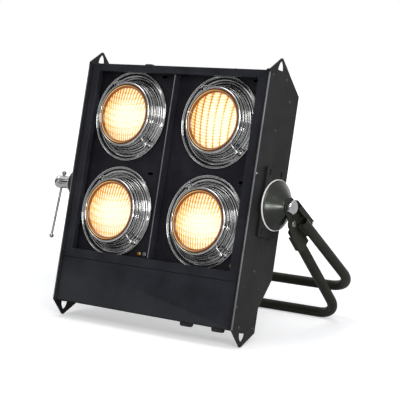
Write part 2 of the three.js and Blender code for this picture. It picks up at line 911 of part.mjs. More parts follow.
// Locking handle: a disc and boss screwed on the stud, with a sliding bar through the boss
const barAcrossPlace = -(discInner + discThickness + barPlace);

function handleBoss() {
  const bore = pivotBoltRadius + seatGap;
  const disc = discInner + discThickness;
  const rimCut = discThickness * edgeCutShare;
  const domeCut = bossDome * edgeCutShare;
  const bossTurn = turned(
    [
      [bore, -discInner],
      [discRadius, -discInner],
      [discRadius, -disc + rimCut],
      [discRadius - rimCut, -disc],
      [bossRadius, -disc],
      [bossRadius, -bossEnd + bossDome],
      [bossRadius - domeCut, -bossEnd + domeCut],
      [bossRadius / 2, -bossEnd],
      [0, -bossEnd],
      [0, -studEnd - seatGap],
      [bore, -studEnd - seatGap],
    ],
    pivotFacets,
    'x',
  );
  const holeRadius = barRadius + seatGap;
  const holeLength = (bossRadius + cutOverrun) * 2;
  const hole = new THREE.CylinderGeometry(holeRadius, holeRadius, holeLength, boltFacets);
  return cut(bossTurn, hole.rotateX(Math.PI / 2).translate(barAcrossPlace, 0, 0));
}

// The bar has slid down until its upper ball rests on the boss
const barTop = bossRadius + seatGap + barBallRadius;

function tommyBar() {
  const low = barTop - barLength;
  const half = (centre, from, to) =>
    Array.from({ length: ballSteps + 1 }, (_, step) => {
      const angle = from + ((to - from) * step) / ballSteps;
      return [Math.cos(angle) * barBallRadius, centre + Math.sin(angle) * barBallRadius];
    });
  const neck = Math.acos(barRadius / barBallRadius);
  const profile = [...half(low, -Math.PI / 2, neck), ...half(barTop, -neck, Math.PI / 2)];
  profile[0][0] = 0;
  profile[profile.length - 1][0] = 0;
  return turned(profile, boltFacets, 'z').translate(barAcrossPlace, 0, 0);
}

addPiece(handle, 'handle_boss', handleBoss(), chrome);
addPiece(handle, 'tommy_bar', tommyBar(), chrome);

// A tube frame: down one side, across and up the other, with a round bend at each corner
class TubeFrame extends THREE.Curve {
  constructor(across, start, reach, bend) {
    super();
    this.across = across;
    this.start = start;
    this.reach = reach;
    this.bend = bend;
    this.steps = bendSteps * 2 + 3;
  }

  // Each straight run is one step and each bend has its own steps, so t counts steps
  place(t) {
    const at = t * this.steps;
    const turn = (step) => (Math.min(Math.max(step, 0), bendSteps) / bendSteps) * (Math.PI / 2);
    const first = turn(at - 1);
    const second = turn(at - 2 - bendSteps);
    const side = this.across - this.bend;
    const fall = this.reach - this.bend;
    const x = side * (1 - 2 * Math.min(Math.max(at - 1 - bendSteps, 0), 1));
    const down = Math.min(at, 1);
    const up = Math.min(Math.max(at - 2 - 2 * bendSteps, 0), 1);
    const z = -this.start - (fall - this.start) * (down - up);
    const angle = first + second;
    return {
      point: new THREE.Vector3(x + this.bend * Math.cos(angle), 0, z - this.bend * Math.sin(angle)),
      tangent: new THREE.Vector3(-Math.sin(angle), 0, -Math.cos(angle)),
    };
  }

  getPoint(t, target = new THREE.Vector3()) {
    return target.copy(this.place(t).point);
  }

  getPointAt(t, target = new THREE.Vector3()) {
    return this.getPoint(t, target);
  }

  getTangentAt(t, target = new THREE.Vector3()) {
    return target.copy(this.place(t).tangent);
  }
}

function circle(radius, facets, turn) {
  return Array.from({ length: facets }, (_, step) => {
    const angle = turn + (step / facets) * Math.PI * 2;
    return new THREE.Vector2(Math.cos(angle) * radius, Math.sin(angle) * radius);
  });
}

function bentTube(across, start, reach, bend, turn) {
  const section = new THREE.Shape(circle(tubeRadius, tubeFacets, turn));
  section.holes.push(new THREE.Path(circle(tubeRadius - tubeWall, tubeFacets, turn)));
  const path = new TubeFrame(across, start, reach, bend);
  return new THREE.ExtrudeGeometry(section, { steps: path.steps, extrudePath: path });
}

// Yoke bracket: a plate on the pivot with a lug for the stand's hinge, folded out along both edges,
// and a lip along the upper edge that holds the tube
function yokeBracket(side) {
  const half = yokeBracketHalf;
  const fold = half - bracketSheet;
  const low = -yokeBracketLength;
  const flangeTop = side > 0 ? -yokeFlangeTop : -discRadius - yokeFlangeTop;
  const lipTop = side > 0 ? -boltHeadRadius - yokeFlangeTop : flangeTop;
  const plateShape = new THREE.Shape();
  plateShape.absarc(0, 0, half, 0, Math.PI, false);
  const [lugStart, lugEnd] = [hingeLugStartShare, hingeLugEndShare].map((share) => share * Math.PI);
  plateShape.absarc(-hingeAcross, -hingeAlong, hingeLugRadius, lugStart, lugEnd, false);
  plateShape.lineTo(-half, -lowerFlangeTop - bracketSheet);
  plateShape.lineTo(-half, low);
  plateShape.lineTo(half, low);
  plateShape.closePath();
  const plate = acrossSheet(plateShape, side * yokePlateInner, side * yokePlateOuter, plateSegments);
  const upper = block(side * yokePlateInner, side * yokeLipOuter, fold, half, low, flangeTop);
  const lower = block(side * yokePlateInner, side * yokeLipOuter, -half, -fold, low, -lowerFlangeTop);
  const lipShape = outline([
    [half, lipTop],
    [half - yokeLipWidth, lipTop],
    [half - yokeLipWidth, low],
    [half - cornerCut, low],
    [half, low + cornerCut],
  ]);
  const lip = acrossSheet(lipShape, side * (yokeLipOuter - bracketSheet), side * yokeLipOuter);
  const over = side * cutOverrun;
  const bore = barAcross(
    pivotBoltRadius + turnGap,
    side * yokePlateInner - over,
    side * yokePlateOuter + over,
    boltFacets,
  );
  const hinge = barAcross(
    hingeBoltRadius + turnGap,
    side * yokePlateInner - over,
    side * yokePlateOuter + over,
    boltFacets,
  );
  return cut(join(plate, upper, lower, lip), bore, hinge.translate(0, -hingeAcross, -hingeAlong));
}

// Stand bracket: a plate on the hinge, folded in along both edges round the tube
function standBracket(side) {
  const half = standBracketHalf;
  const low = -standBracketLength;
  const plateShape = new THREE.Shape();
  plateShape.absarc(0, 0, standHeadRadius, 0, Math.PI, false);
  plateShape.lineTo(-half, -standShoulder);
  plateShape.lineTo(-half, low + cornerCut);
  plateShape.lineTo(-half + cornerCut, low);
  plateShape.lineTo(half, low);
  plateShape.lineTo(half, -standShoulder);
  plateShape.closePath();
  const plate = acrossSheet(plateShape, side * standPlateInner, side * standPlateOuter, plateSegments);
  const flanges = [-1, 1].map((edge) =>
    block(
      side * standFlangeInner,
      side * standPlateOuter,
      edge * (half - bracketSheet),
      edge * half,
      low + cornerCut,
      -standShoulder,
    ),
  );
  const over = side * cutOverrun;
  const hinge = barAcross(
    hingeBoltRadius + turnGap,
    side * standPlateInner - over,
    side * standPlateOuter + over,
    boltFacets,
  );
  return cut(join(plate, ...flanges), hinge);
}

// Hinge bolt: hex head on the stand's plate, nut on the yoke's plate
function hingeBolt(side) {
  const headOuter = standPlateInner - seatGap;
  const headInside = headOuter - hingeHeadHeight;
  const nutInside = yokePlateOuter + seatGap;
  const nutOutside = nutInside + hingeNutHeight;
  const shankInside = side * (headInside + seatGap);
  const shankOutside = side * (nutOutside - seatGap);
  const shank = barAcross(hingeBoltRadius, shankInside, shankOutside, boltFacets);
  const head = barAcross(hingeHeadRadius, side * headInside, side * headOuter, hexFacets);
  const nut = barAcross(hingeHeadRadius, side * nutInside, side * nutOutside, hexFacets);
  return join(shank, head, nut);
}

function frictionWasher() {
  const bore = pivotBoltRadius + seatGap;
  return turned(
    [
      [bore, -washerInner],
      [washerRadius, -washerInner],
      [washerRadius, -washerInner - washerThickness],
      [bore, -washerInner - washerThickness],
    ],
    pivotFacets,
    'x',
  );
}

const yokeTube = bentTube(yokeTubeAcross, yokeTubeStart, yokeReach, yokeBendRadius, yokeAngle);
addPiece(yoke, 'yoke_tube', yokeTube, tubeCoat).position.set(0, yokeTubeShift, 0);
addPiece(yoke, 'friction_washer', frictionWasher(), paleNylon);
const standTube = bentTube(standTubeAcross, standTubeStart, standReach, standBendRadius, standAngle);
addPiece(stand, 'stand_tube', standTube, tubeCoat).position.set(0, standTubeShift, 0);
for (const [name, side] of [['left', -1], ['right', 1]]) {
  addPiece(yoke, name + '_yoke_bracket', yokeBracket(side), tubeCoat);
  addPiece(stand, name + '_stand_bracket', standBracket(side), tubeCoat);
  addPiece(yoke, name + '_hinge_bolt', hingeBolt(side), steel).position.set(0, -hingeAcross, -hingeAlong);
}

export default blinder;
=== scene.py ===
import math

import bmesh
import bpy
import numpy as np
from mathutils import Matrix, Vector


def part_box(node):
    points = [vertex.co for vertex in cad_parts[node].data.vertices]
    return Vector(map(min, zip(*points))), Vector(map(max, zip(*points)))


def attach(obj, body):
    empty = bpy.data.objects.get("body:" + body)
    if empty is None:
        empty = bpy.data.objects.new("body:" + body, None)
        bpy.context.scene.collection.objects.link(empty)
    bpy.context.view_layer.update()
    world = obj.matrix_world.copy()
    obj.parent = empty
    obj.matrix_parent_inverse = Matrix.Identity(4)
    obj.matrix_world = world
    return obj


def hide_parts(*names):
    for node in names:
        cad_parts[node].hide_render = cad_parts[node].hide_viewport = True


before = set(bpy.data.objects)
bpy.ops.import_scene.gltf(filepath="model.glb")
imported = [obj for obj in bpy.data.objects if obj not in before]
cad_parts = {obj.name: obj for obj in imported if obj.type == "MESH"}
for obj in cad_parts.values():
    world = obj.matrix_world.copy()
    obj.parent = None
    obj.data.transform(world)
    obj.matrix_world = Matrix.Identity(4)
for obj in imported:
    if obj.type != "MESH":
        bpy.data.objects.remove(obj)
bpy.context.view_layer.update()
scene = bpy.context.scene
mm = 0.001  # sizes below are millimetres and degrees, meshes are metres
mergeDistance = 2e-6  # corners nearer than this are one, in metres
print("frame loaded with", len(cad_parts), "nodes")


# Camera, at the photograph's angle
cameraView = {
    "azimuth": 38.05,
    "elevation": 8.25,
    "place": (1591.65, -1990.82, 586.80),
    "lens": 124.8,
    "sensor": 36.0,
}


def addCamera(view):
    azimuth = math.radians(view["azimuth"])
    elevation = math.radians(view["elevation"])
    flat = math.cos(elevation)
    back = Vector((math.sin(azimuth) * flat, -math.cos(azimuth) * flat, math.sin(elevation)))
    data = bpy.data.cameras.new("camera")
    data.lens = view["lens"]
    data.sensor_width = view["sensor"]
    eye = bpy.data.objects.new("camera", data)
    scene.collection.objects.link(eye)
    eye.location = Vector(view["place"]) * mm
    eye.rotation_mode = "QUATERNION"
    eye.rotation_quaternion = (-back).to_track_quat("-Z", "Y")
    scene.camera = eye


addCamera(cameraView)
print("camera placed")


# Frames of the tilted groups: a turn about X, and the point it turns round
pivot = {"depth": 67.0, "height": 223.5}
lean = {"casing": -14.0, "handle": -18.0, "yoke": 49.9, "stand": 41.0}


def boxOf(node):
    low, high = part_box(node)
    return np.array(low) / mm, np.array(high) / mm


def centreOf(node):
    low, high = boxOf(node)
    return (low + high) / 2


def turnAboutX(points, degrees):
    angle = math.radians(degrees)
    c, s = math.cos(angle), math.sin(angle)
    turn = np.array([[1, 0, 0], [0, c, s], [0, -s, c]])
    return np.asarray(points, float) @ turn


middleX = (centreOf("left_side_panel")[0] + centreOf("right_side_panel")[0]) / 2
mainAxis = centreOf("right_pivot_ring") * (0, 1, 1) + (middleX, 0, 0)
standAxis = centreOf("right_hinge_bolt") * (0, 1, 1) + (middleX, 0, 0)
casingCorner = mainAxis - turnAboutX([0, pivot["depth"], pivot["height"]], lean["casing"])


def inCasing(points):
    return casingCorner + turnAboutX(points, lean["casing"])


def inYoke(points):
    return mainAxis + turnAboutX(points, lean["yoke"])


def inStand(points):
    return standAxis + turnAboutX(points, lean["stand"])


# Grid surfaces: points[row, column], each row carried to the next
def gridFaces(rows, columns, closeRows, closeColumns):
    i = np.arange(rows if closeRows else rows - 1)[:, None]
    j = np.arange(columns if closeColumns else columns - 1)[None, :]
    nextRow, nextColumn = (i + 1) % rows, (j + 1) % columns
    corners = [
        i * columns + j,
        i * columns + nextColumn,
        nextRow * columns + nextColumn,
        nextRow * columns + j,
    ]
    return np.stack(corners, -1).reshape(-1, 4)


def meshOf(name, grids, sharp=35.0):
    # grids: (points, closeRows, closeColumns); rows that shrink to a point become a pole
    verts, faces, count = [], [], 0
    for points, closeRows, closeColumns in grids:
        rows, columns = points.shape[:2]
        faces.append(gridFaces(rows, columns, closeRows, closeColumns) + count)
        verts.append(points.reshape(-1, 3) * mm)
        count += rows * columns
    mesh = bpy.data.meshes.new(name)
    mesh.from_pydata(np.concatenate(verts).tolist(), [], np.concatenate(faces).tolist())
    shell = bmesh.new()
    shell.from_mesh(mesh)
    bmesh.ops.remove_doubles(shell, verts=shell.verts, dist=mergeDistance)
    bmesh.ops.recalc_face_normals(shell, faces=shell.faces)
    shell.to_mesh(mesh)
    shell.free()
    mesh.shade_smooth()
    mesh.set_sharp_from_angle(angle=math.radians(sharp))
    return mesh


def addPiece(name, mesh, material, body, nodes=()):
    piece = bpy.data.objects.new(name, mesh)
    scene.collection.objects.link(piece)
    mesh.materials.clear()
    mesh.materials.append(material)
    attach(piece, body)
    if nodes:
        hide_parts(*nodes)
    return piece


def rounded(profile, rounds=3, closed=False, share=0.25):
    # corner cutting: each corner is swapped for two points a share of the way along its sides
    points = np.asarray(profile, float)
    for cut in range(rounds):
        following = np.roll(points, -1, 0) if closed else points[1:]
        before = points if closed else points[:-1]
        near = before + (following - before) * share
        far = before + (following - before) * (1 - share)
        cutPoints = np.stack([near, far], 1).reshape(-1, 2)
        points = cutPoints if closed else np.concatenate([points[:1], cutPoints, points[-1:]])
    return points


def turned(profile, count, axis="y"):
    # a profile of (radius, place) carried round the axis
    angle = np.linspace(0, 2 * np.pi, count, endpoint=False)[None, :]
    radius, place = np.asarray(profile, float).T[:, :, None]
    place = place + 0 * angle
    across, up = radius * np.cos(angle), radius * np.sin(angle)
    return np.stack([place, across, up] if axis == "x" else [across, place, up], -1)


def sixSided(angle):
    # distance to a hexagon's side over the distance to its corner
    return math.cos(math.pi / 6) / np.cos((angle + math.pi / 6) % (math.pi / 3) - math.pi / 6)


# Node helpers
def addNode(tree, kind, inputs=None, **settings):
    node = tree.nodes.new("ShaderNode" + kind)
    for key, value in settings.items():
        setattr(node, key, value)
    for key, value in (inputs or {}).items():
        if isinstance(value, bpy.types.NodeSocket):
            tree.links.new(value, node.inputs[key])
        else:
            node.inputs[key].default_value = value
    return node


def calc(tree, operation, *values, clamp=False):
    inputs = dict(enumerate(values))
    return addNode(tree, "Math", inputs, operation=operation, use_clamp=clamp).outputs[0]


def mapRange(tree, value, low, high, toLow=0.0, toHigh=1.0, smooth=True):
    inputs = {"Value": value, "From Min": low, "From Max": high, "To Min": toLow, "To Max": toHigh}
    kind = "SMOOTHSTEP" if smooth else "LINEAR"
    return addNode(tree, "MapRange", inputs, interpolation_type=kind).outputs["Result"]


def mixColour(tree, share, first, second, blend="MIX"):
    node = addNode(tree, "Mix", data_type="RGBA", blend_type=blend)
    for place, value in {0: share, 6: first, 7: second}.items():
        if isinstance(value, bpy.types.NodeSocket):
            tree.links.new(value, node.inputs[place])
        else:
            node.inputs[place].default_value = value
    return node.outputs[2]


def noise(tree, vector, scale, detail=2.0, roughness=0.5):
    inputs = {"Vector": vector, "Scale": scale, "Detail": detail, "Roughness": roughness}
    return addNode(tree, "TexNoise", inputs).outputs["Fac"]


def colour(red, green, blue):
    # a colour as it is seen, 0 to 255, turned into the renderer's linear values
    seen = np.array([red, green, blue]) / 255
    linear = np.where(seen <= 0.04045, seen / 12.92, ((seen + 0.055) / 1.055) ** 2.4)
    return (*linear.tolist(), 1.0)


def newGroup(name, inputs, outputs):
    tree = bpy.data.node_groups.new(name, "ShaderNodeTree")
    for label, value in inputs.items():
        kind = "NodeSocketVector" if value is None else "NodeSocketFloat"
        socket = tree.interface.new_socket(label, in_out="INPUT", socket_type=kind)
        if value is not None:
            socket.default_value = value
    for label in outputs:
        tree.interface.new_socket(label, in_out="OUTPUT", socket_type="NodeSocketFloat")
    return tree, tree.nodes.new("NodeGroupInput").outputs, tree.nodes.new("NodeGroupOutput").inputs


# Shared effects, each a group that is built once; noise scales are in waves to a metre
effects = {
    "tonePatches": 22.0,
    "toneStreaks": 140.0,
    "edgeChips": 260.0,
    "edgeSamples": 6,
    "dustPatches": 60.0,
    "scratches": 420.0,
    "scratchStretch": 9.0,
    "wipes": 35.0,
}


def grainGroup():
    # fine bumps of a baked coat, and slow changes of tone
    inputs = {"Point": None, "Fineness": 900.0}
    tree, given, result = newGroup("coatGrain", inputs, ["Height", "Tone"])
    fine = noise(tree, given["Point"], given["Fineness"], 3.0, 0.6)
    slow = noise(tree, given["Point"], effects["tonePatches"], 3.0, 0.55)
    streak = noise(tree, given["Point"], effects["toneStreaks"], 1.0)
    tone = calc(tree, "MULTIPLY_ADD", slow, 0.8, calc(tree, "MULTIPLY", streak, 0.2))
    tree.links.new(fine, result["Height"])
    tree.links.new(tone, result["Tone"])
    return tree


def wearGroup():
    # where the rounded normal leaves the flat one the surface has an edge, broken up by noise
    tree, given, result = newGroup("edgeWear", {"Point": None, "Reach": 0.0009}, ["Mask"])
    reach = {"Radius": given["Reach"]}
    soft = addNode(tree, "Bevel", reach, samples=effects["edgeSamples"]).outputs[0]
    hard = addNode(tree, "NewGeometry").outputs["Normal"]
    same = addNode(tree, "VectorMath", {0: soft, 1: hard}, operation="DOT_PRODUCT")
    edge = mapRange(tree, same.outputs["Value"], 0.995, 0.86)
    chips = noise(tree, given["Point"], effects["edgeChips"], 4.0, 0.65)
    mask = calc(tree, "MULTIPLY", edge, mapRange(tree, chips, 0.42, 0.62))
    tree.links.new(mask, result["Mask"])
    return tree


def dustGroup():
    # a thin film on what faces up, thicker in patches
    tree, given, result = newGroup("dustFilm", {"Point": None, "Amount": 0.3}, ["Mask"])
    normal = addNode(tree, "NewGeometry").outputs["Normal"]
    up = addNode(tree, "SeparateXYZ", {0: normal}).outputs["Z"]
    facing = mapRange(tree, up, 0.15, 1.0)
    patches = noise(tree, given["Point"], effects["dustPatches"], 4.0, 0.6)
    film = calc(tree, "MULTIPLY", facing, mapRange(tree, patches, 0.3, 0.75))
    tree.links.new(calc(tree, "MULTIPLY", film, given["Amount"]), result["Mask"])
    return tree


def polishGroup():
    # wipe marks and fine scratches of plated metal
    inputs = {"Point": None, "Depth": 0.05}
    tree, given, result = newGroup("polishMarks", inputs, ["Height", "Rough"])
    stretch = {"Vector": given["Point"], "Scale": (1.0, 1.0, effects["scratchStretch"])}
    stretched = addNode(tree, "Mapping", stretch).outputs[0]
    scratch = mapRange(tree, noise(tree, stretched, effects["scratches"], 2.0, 0.7), 0.55, 0.75)
    wipes = noise(tree, given["Point"], effects["wipes"], 3.0, 0.6)
    rough = calc(tree, "MULTIPLY", calc(tree, "ADD", scratch, wipes), given["Depth"])
    tree.links.new(scratch, result["Height"])
    tree.links.new(rough, result["Rough"])
    return tree


def turningGroup():
    # rings left by the lathe, by distance from the X axis of the given point
    tree, given, result = newGroup("turningRings", {"Point": None, "Fineness": 1500.0}, ["Height"])
    acrossAxis = {0: given["Point"], 1: (0.0, 1.0, 1.0)}
    flat = addNode(tree, "VectorMath", acrossAxis, operation="MULTIPLY").outputs[0]
    distance = addNode(tree, "VectorMath", {0: flat}, operation="LENGTH").outputs["Value"]
    inputs = {"W": distance, "Scale": given["Fineness"], "Detail": 2.0}
    rings = addNode(tree, "TexNoise", inputs, noise_dimensions="1D").outputs["Fac"]
    tree.links.new(rings, result["Height"])
    return tree


groups = {
    "grain": grainGroup(),
    "wear": wearGroup(),
    "dust": dustGroup(),
    "polish": polishGroup(),
    "turning": turningGroup(),
}


def useGroup(tree, name, inputs):
    node = tree.nodes.new("ShaderNodeGroup")
    node.node_tree = groups[name]
    for key, value in inputs.items():
        if isinstance(value, bpy.types.NodeSocket):
            tree.links.new(value, node.inputs[key])
        else:
            node.inputs[key].default_value = value
    return node.outputs


def newMaterial(name, roughness, metallic=0.0, specular=0.5):
    material = bpy.data.materials.new(name)
    material.use_nodes = True
    tree = material.node_tree
    shader = tree.nodes["Principled BSDF"]
    shader.inputs["Roughness"].default_value = roughness
    shader.inputs["Metallic"].default_value = metallic
    shader.inputs["Specular IOR Level"].default_value = specular
    point = addNode(tree, "TexCoord").outputs["Object"]
    return material, tree, shader, point


def addBump(tree, shader, height, strength, distance):
    inputs = {"Height": height, "Strength": strength, "Distance": distance}
    tree.links.new(addNode(tree, "Bump", inputs).outputs[0], shader.inputs["Normal"])


def twoTones(tree, height, low, high):
    # the darker tone in the hollows of a pattern, the lighter on its crests
    return mixColour(tree, mapRange(tree, height, 0.3, 0.7), colour(*low), colour(*high))


# Painted sheet and tube
coats = {
    "panelCoat": {
        "tone": (27, 26, 27), "light": (36, 35, 36), "rough": 0.44, "specular": 0.14, "dust": 0.04,
    },
    "railCoat": {
        "tone": (32, 33, 38), "light": (42, 43, 49), "rough": 0.38, "specular": 0.24, "dust": 0.03,
    },
    "plateCoat": {
        "tone": (26, 25, 30), "light": (36, 35, 41), "rough": 0.42, "specular": 0.22, "dust": 0.02,
    },
    "tubeCoat": {
        "tone": (31, 31, 26), "light": (42, 42, 35), "rough": 0.40, "specular": 0.10, "dust": 0.04,
    },
    # a pale coat for the rolled front edges: a painted highlight along them
    "edgeHighlightCoat": {
        "tone": (78, 78, 83), "light": (104, 104, 110), "rough": 0.34, "specular": 0.5, "dust": 0.02,
    },
}
coatWear = {
    "bare": (126, 126, 124),
    "dust": (120, 116, 108),
    "reach": 0.0008,
    "share": 0.42,
    "fineness": 1100.0,
    "roughSwing": 0.22,
    "bump": (0.16, 0.0002),  # strength and depth in metres
}


def coatMaterial(name, spec):
    material, tree, shader, point = newMaterial(name, spec["rough"], 0.0, spec["specular"])
    grain = useGroup(tree, "grain", {"Point": point, "Fineness": coatWear["fineness"]})
    wear = useGroup(tree, "wear", {"Point": point, "Reach": coatWear["reach"]})["Mask"]
    dust = useGroup(tree, "dust", {"Point": point, "Amount": spec["dust"]})["Mask"]
    tone = twoTones(tree, grain["Tone"], spec["tone"], spec["light"])
    worn = calc(tree, "MULTIPLY", wear, coatWear["share"])
    tone = mixColour(tree, worn, tone, colour(*coatWear["bare"]))
    tone = mixColour(tree, dust, tone, colour(*coatWear["dust"]))
    tree.links.new(tone, shader.inputs["Base Color"])
    swing = coatWear["roughSwing"]
    rough = calc(tree, "MULTIPLY_ADD", grain["Tone"], swing, spec["rough"] - swing / 2)
    tree.links.new(calc(tree, "ADD", rough, dust, clamp=True), shader.inputs["Roughness"])
    addBump(tree, shader, grain["Height"], *coatWear["bump"])
    return material


# Bright and bare metals
metals = {
    "chromePlate": {"dark": (176, 176, 176), "bright": (206, 206, 204), "rough": 0.07, "marks": 0.03},
    "panChrome": {"dark": (176, 176, 177), "bright": (206, 206, 205), "rough": 0.08, "marks": 0.02},
    "reflectorSilver": {
        "dark": (150, 150, 150), "bright": (205, 205, 205), "rough": 0.16, "marks": 0.10,
    },
    "zincSteel": {"dark": (128, 128, 126), "bright": (172, 172, 169), "rough": 0.26, "marks": 0.16},
    "screwBrass": {"dark": (160, 118, 58), "bright": (214, 176, 104), "rough": 0.24, "marks": 0.14},
    "darkSteel": {"dark": (54, 55, 57), "bright": (84, 86, 88), "rough": 0.30, "marks": 0.10},
}
plating = {"tarnish": 48.0, "bump": (0.012, 0.00003)}


def metalMaterial(name, spec):
    material, tree, shader, point = newMaterial(name, spec["rough"], 1.0)
    marks = useGroup(tree, "polish", {"Point": point, "Depth": spec["marks"]})
    tarnish = mapRange(tree, noise(tree, point, plating["tarnish"], 4.0, 0.6), 0.3, 0.75)
    tone = mixColour(tree, tarnish, colour(*spec["bright"]), colour(*spec["dark"]))
    tree.links.new(tone, shader.inputs["Base Color"])
    rough = calc(tree, "ADD", marks["Rough"], spec["rough"])
    tree.links.new(rough, shader.inputs["Roughness"])
    addBump(tree, shader, marks["Height"], *plating["bump"])
    return material


# Lacquered pivot cone, with rings from the lathe showing through
coneFinish = {
    "dark": (38, 40, 38),
    "light": (62, 64, 60),
    "rough": 0.24,
    "roughSwing": 0.14,
    "metal": 0.85,
    "rings": 2200.0,
    "dust": 0.05,
    "bump": (0.10, 0.00008),
}


def coneMaterial(spec):
    material, tree, shader, point = newMaterial("coneLacquer", spec["rough"], spec["metal"])
    middle = tuple(-mainAxis * mm * (0, 1, 1))
    centred = addNode(tree, "Mapping", {"Vector": point, "Location": middle}).outputs[0]
    turning = {"Point": centred, "Fineness": spec["rings"]}
    rings = useGroup(tree, "turning", turning)["Height"]
    dust = useGroup(tree, "dust", {"Point": point, "Amount": spec["dust"]})["Mask"]
    tone = twoTones(tree, rings, spec["dark"], spec["light"])
    tone = mixColour(tree, dust, tone, colour(*coatWear["dust"]))
    tree.links.new(tone, shader.inputs["Base Color"])
    swing = spec["roughSwing"]
    rough = calc(tree, "MULTIPLY_ADD", rings, swing, spec["rough"] - swing / 2)
    tree.links.new(rough, shader.inputs["Roughness"])
    addBump(tree, shader, rings, *spec["bump"])
    return material


# Moulded and fired finishes
plain = {
    "paleNylon": {
        "tone": (226, 226, 220), "light": (240, 240, 236),
        "rough": 0.42, "specular": 0.5, "grain": 500.0,
    },
    "firedClay": {
        "tone": (206, 200, 184), "light": (228, 222, 208),
        "rough": 0.72, "specular": 0.4, "grain": 700.0,
    },
    "glandPlastic": {
        "tone": (20, 20, 21), "light": (32, 32, 33),
        "rough": 0.5, "specular": 0.4, "grain": 800.0,
    },
}
moulded = {"dust": 0.10, "roughSwing": 0.2, "bump": (0.12, 0.0002)}


def plainMaterial(name, spec):
    material, tree, shader, point = newMaterial(name, spec["rough"], 0.0, spec["specular"])
    grain = useGroup(tree, "grain", {"Point": point, "Fineness": spec["grain"]})
    dust = useGroup(tree, "dust", {"Point": point, "Amount": moulded["dust"]})["Mask"]
    tone = twoTones(tree, grain["Tone"], spec["tone"], spec["light"])
    tone = mixColour(tree, dust, tone, colour(*coatWear["dust"]))
    tree.links.new(tone, shader.inputs["Base Color"])
    swing = moulded["roughSwing"]
    rough = calc(tree, "MULTIPLY_ADD", grain["Tone"], swing, spec["rough"] - swing / 2)
    tree.links.new(rough, shader.inputs["Roughness"])
    addBump(tree, shader, grain["Height"], *moulded["bump"])
    return material


# Woven sleeve of the hidden leads
sleeve = {
    "thread": (150, 74, 52),
    "gap": (70, 30, 22),
    "rough": 0.75,
    "fineness": 620.0,
    "slant": 0.7,
    "bump": (0.5, 0.0003),
}


def sleeveMaterial(spec):
    material, tree, shader, point = newMaterial("leadSleeve", spec["rough"])
    slant = {"Vector": point, "Rotation": (spec["slant"], 0.0, spec["slant"])}
    waved = {"Vector": addNode(tree, "Mapping", slant).outputs[0], "Scale": spec["fineness"]}
    waves = [addNode(tree, "TexWave", waved, bands_direction=way) for way in ("X", "Z")]
    weave = calc(tree, "MULTIPLY", *(wave.outputs["Fac"] for wave in waves))
    tone = mixColour(tree, weave, colour(*spec["gap"]), colour(*spec["thread"]))
    tree.links.new(tone, shader.inputs["Base Color"])
    addBump(tree, shader, weave, *spec["bump"])
    return material


paint = {name: coatMaterial(name, spec) for name, spec in coats.items()}
paint.update({name: metalMaterial(name, spec) for name, spec in metals.items()})
paint.update({name: plainMaterial(name, spec) for name, spec in plain.items()})
paint["coneLacquer"] = coneMaterial(coneFinish)
paint["leadSleeve"] = sleeveMaterial(sleeve)
print("finishes made:", len(paint))


# Sheet pieces: the frame's own shape, merged, with its edges rounded
# (node, body, finish, slot, width of the rounded edge)
sheets = {
    "frontFrame": ("front_frame", "casing", "railCoat", "rail_coat", 0.7),
    "centreDivider": ("centre_divider", "casing", "railCoat", "rail_coat", 0.6),
    "lowerFrontCover": ("lower_front_cover", "casing", "railCoat", "rail_coat", 0.45),
    "leftSidePanel": ("left_side_panel", "casing", "panelCoat", "black_coat", 0.5),
    "rightSidePanel": ("right_side_panel", "casing", "panelCoat", "black_coat", 0.5),
    "leftLampPlate": ("left_lamp_plate", "casing", "plateCoat", "black_coat", 0.35),
    "rightLampPlate": ("right_lamp_plate", "casing", "plateCoat", "black_coat", 0.35),
    "topCover": ("top_cover", "casing", "panelCoat", "black_coat", 0.4),
    "rearCover": ("rear_cover", "casing", "panelCoat", "black_coat", 0.4),
    "lowerRearCover": ("lower_rear_cover", "casing", "panelCoat", "black_coat", 0.4),
    "compartmentShelf": ("compartment_shelf", "casing", "panelCoat", "black_coat", 0.3),
    "leftPivotPlate": ("left_pivot_plate", "casing", "panelCoat", "black_coat", 0.5),
    "rightPivotPlate": ("right_pivot_plate", "casing", "panelCoat", "black_coat", 0.5),
    "leftYokeBracket": ("left_yoke_bracket", "yoke", "tubeCoat", "tube_coat", 0.5),
    "rightYokeBracket": ("right_yoke_bracket", "yoke", "tubeCoat", "tube_coat", 0.5),
    "leftStandBracket": ("left_stand_bracket", "stand", "tubeCoat", "tube_coat", 0.5),
    "rightStandBracket": ("right_stand_bracket", "stand", "tubeCoat", "tube_coat", 0.5),
    "terminalBlock": ("terminal_block", "casing", "firedClay", "ceramic", 0.6),
}
for number in (1, 2, 3, 4):
    socket = (f"lamp_socket_{number}", "casing", "firedClay", "ceramic", 0.8)
    sheets[f"lampSocket{number}"] = socket
sheetAngle = math.radians(28)  # folds sharper than this get a rounded edge


def sheetPiece(name, node, body, finish, slot, edge):
    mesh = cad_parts[node].data.copy()
    mesh.name = name
    shell = bmesh.new()
    shell.from_mesh(mesh)
    bmesh.ops.remove_doubles(shell, verts=shell.verts, dist=mergeDistance)
    shell.to_mesh(mesh)
    shell.free()
    mesh.shade_smooth()
    mesh.set_sharp_from_angle(angle=sheetAngle)
    piece = addPiece(name, mesh, paint[finish], body, [node])
    bevel = piece.modifiers.new("edges", "BEVEL")
    bevel.width = edge * mm
    bevel.segments = 2
    bevel.limit_method = "ANGLE"
    bevel.angle_limit = sheetAngle
    bevel.harden_normals = True
    return piece


for sheetName, sheetSpec in sheets.items():
    sheetPiece(sheetName, *sheetSpec)
print("sheet pieces made:", len(sheets))


# Lamps
lamp = {
    "across": 102.5,
    "low": 177.0,
    "pitch": 178.0,
    "plate": 20.0,
    "facets": 256,
    "lensFacets": 288,
    "lensRows": 120,
}
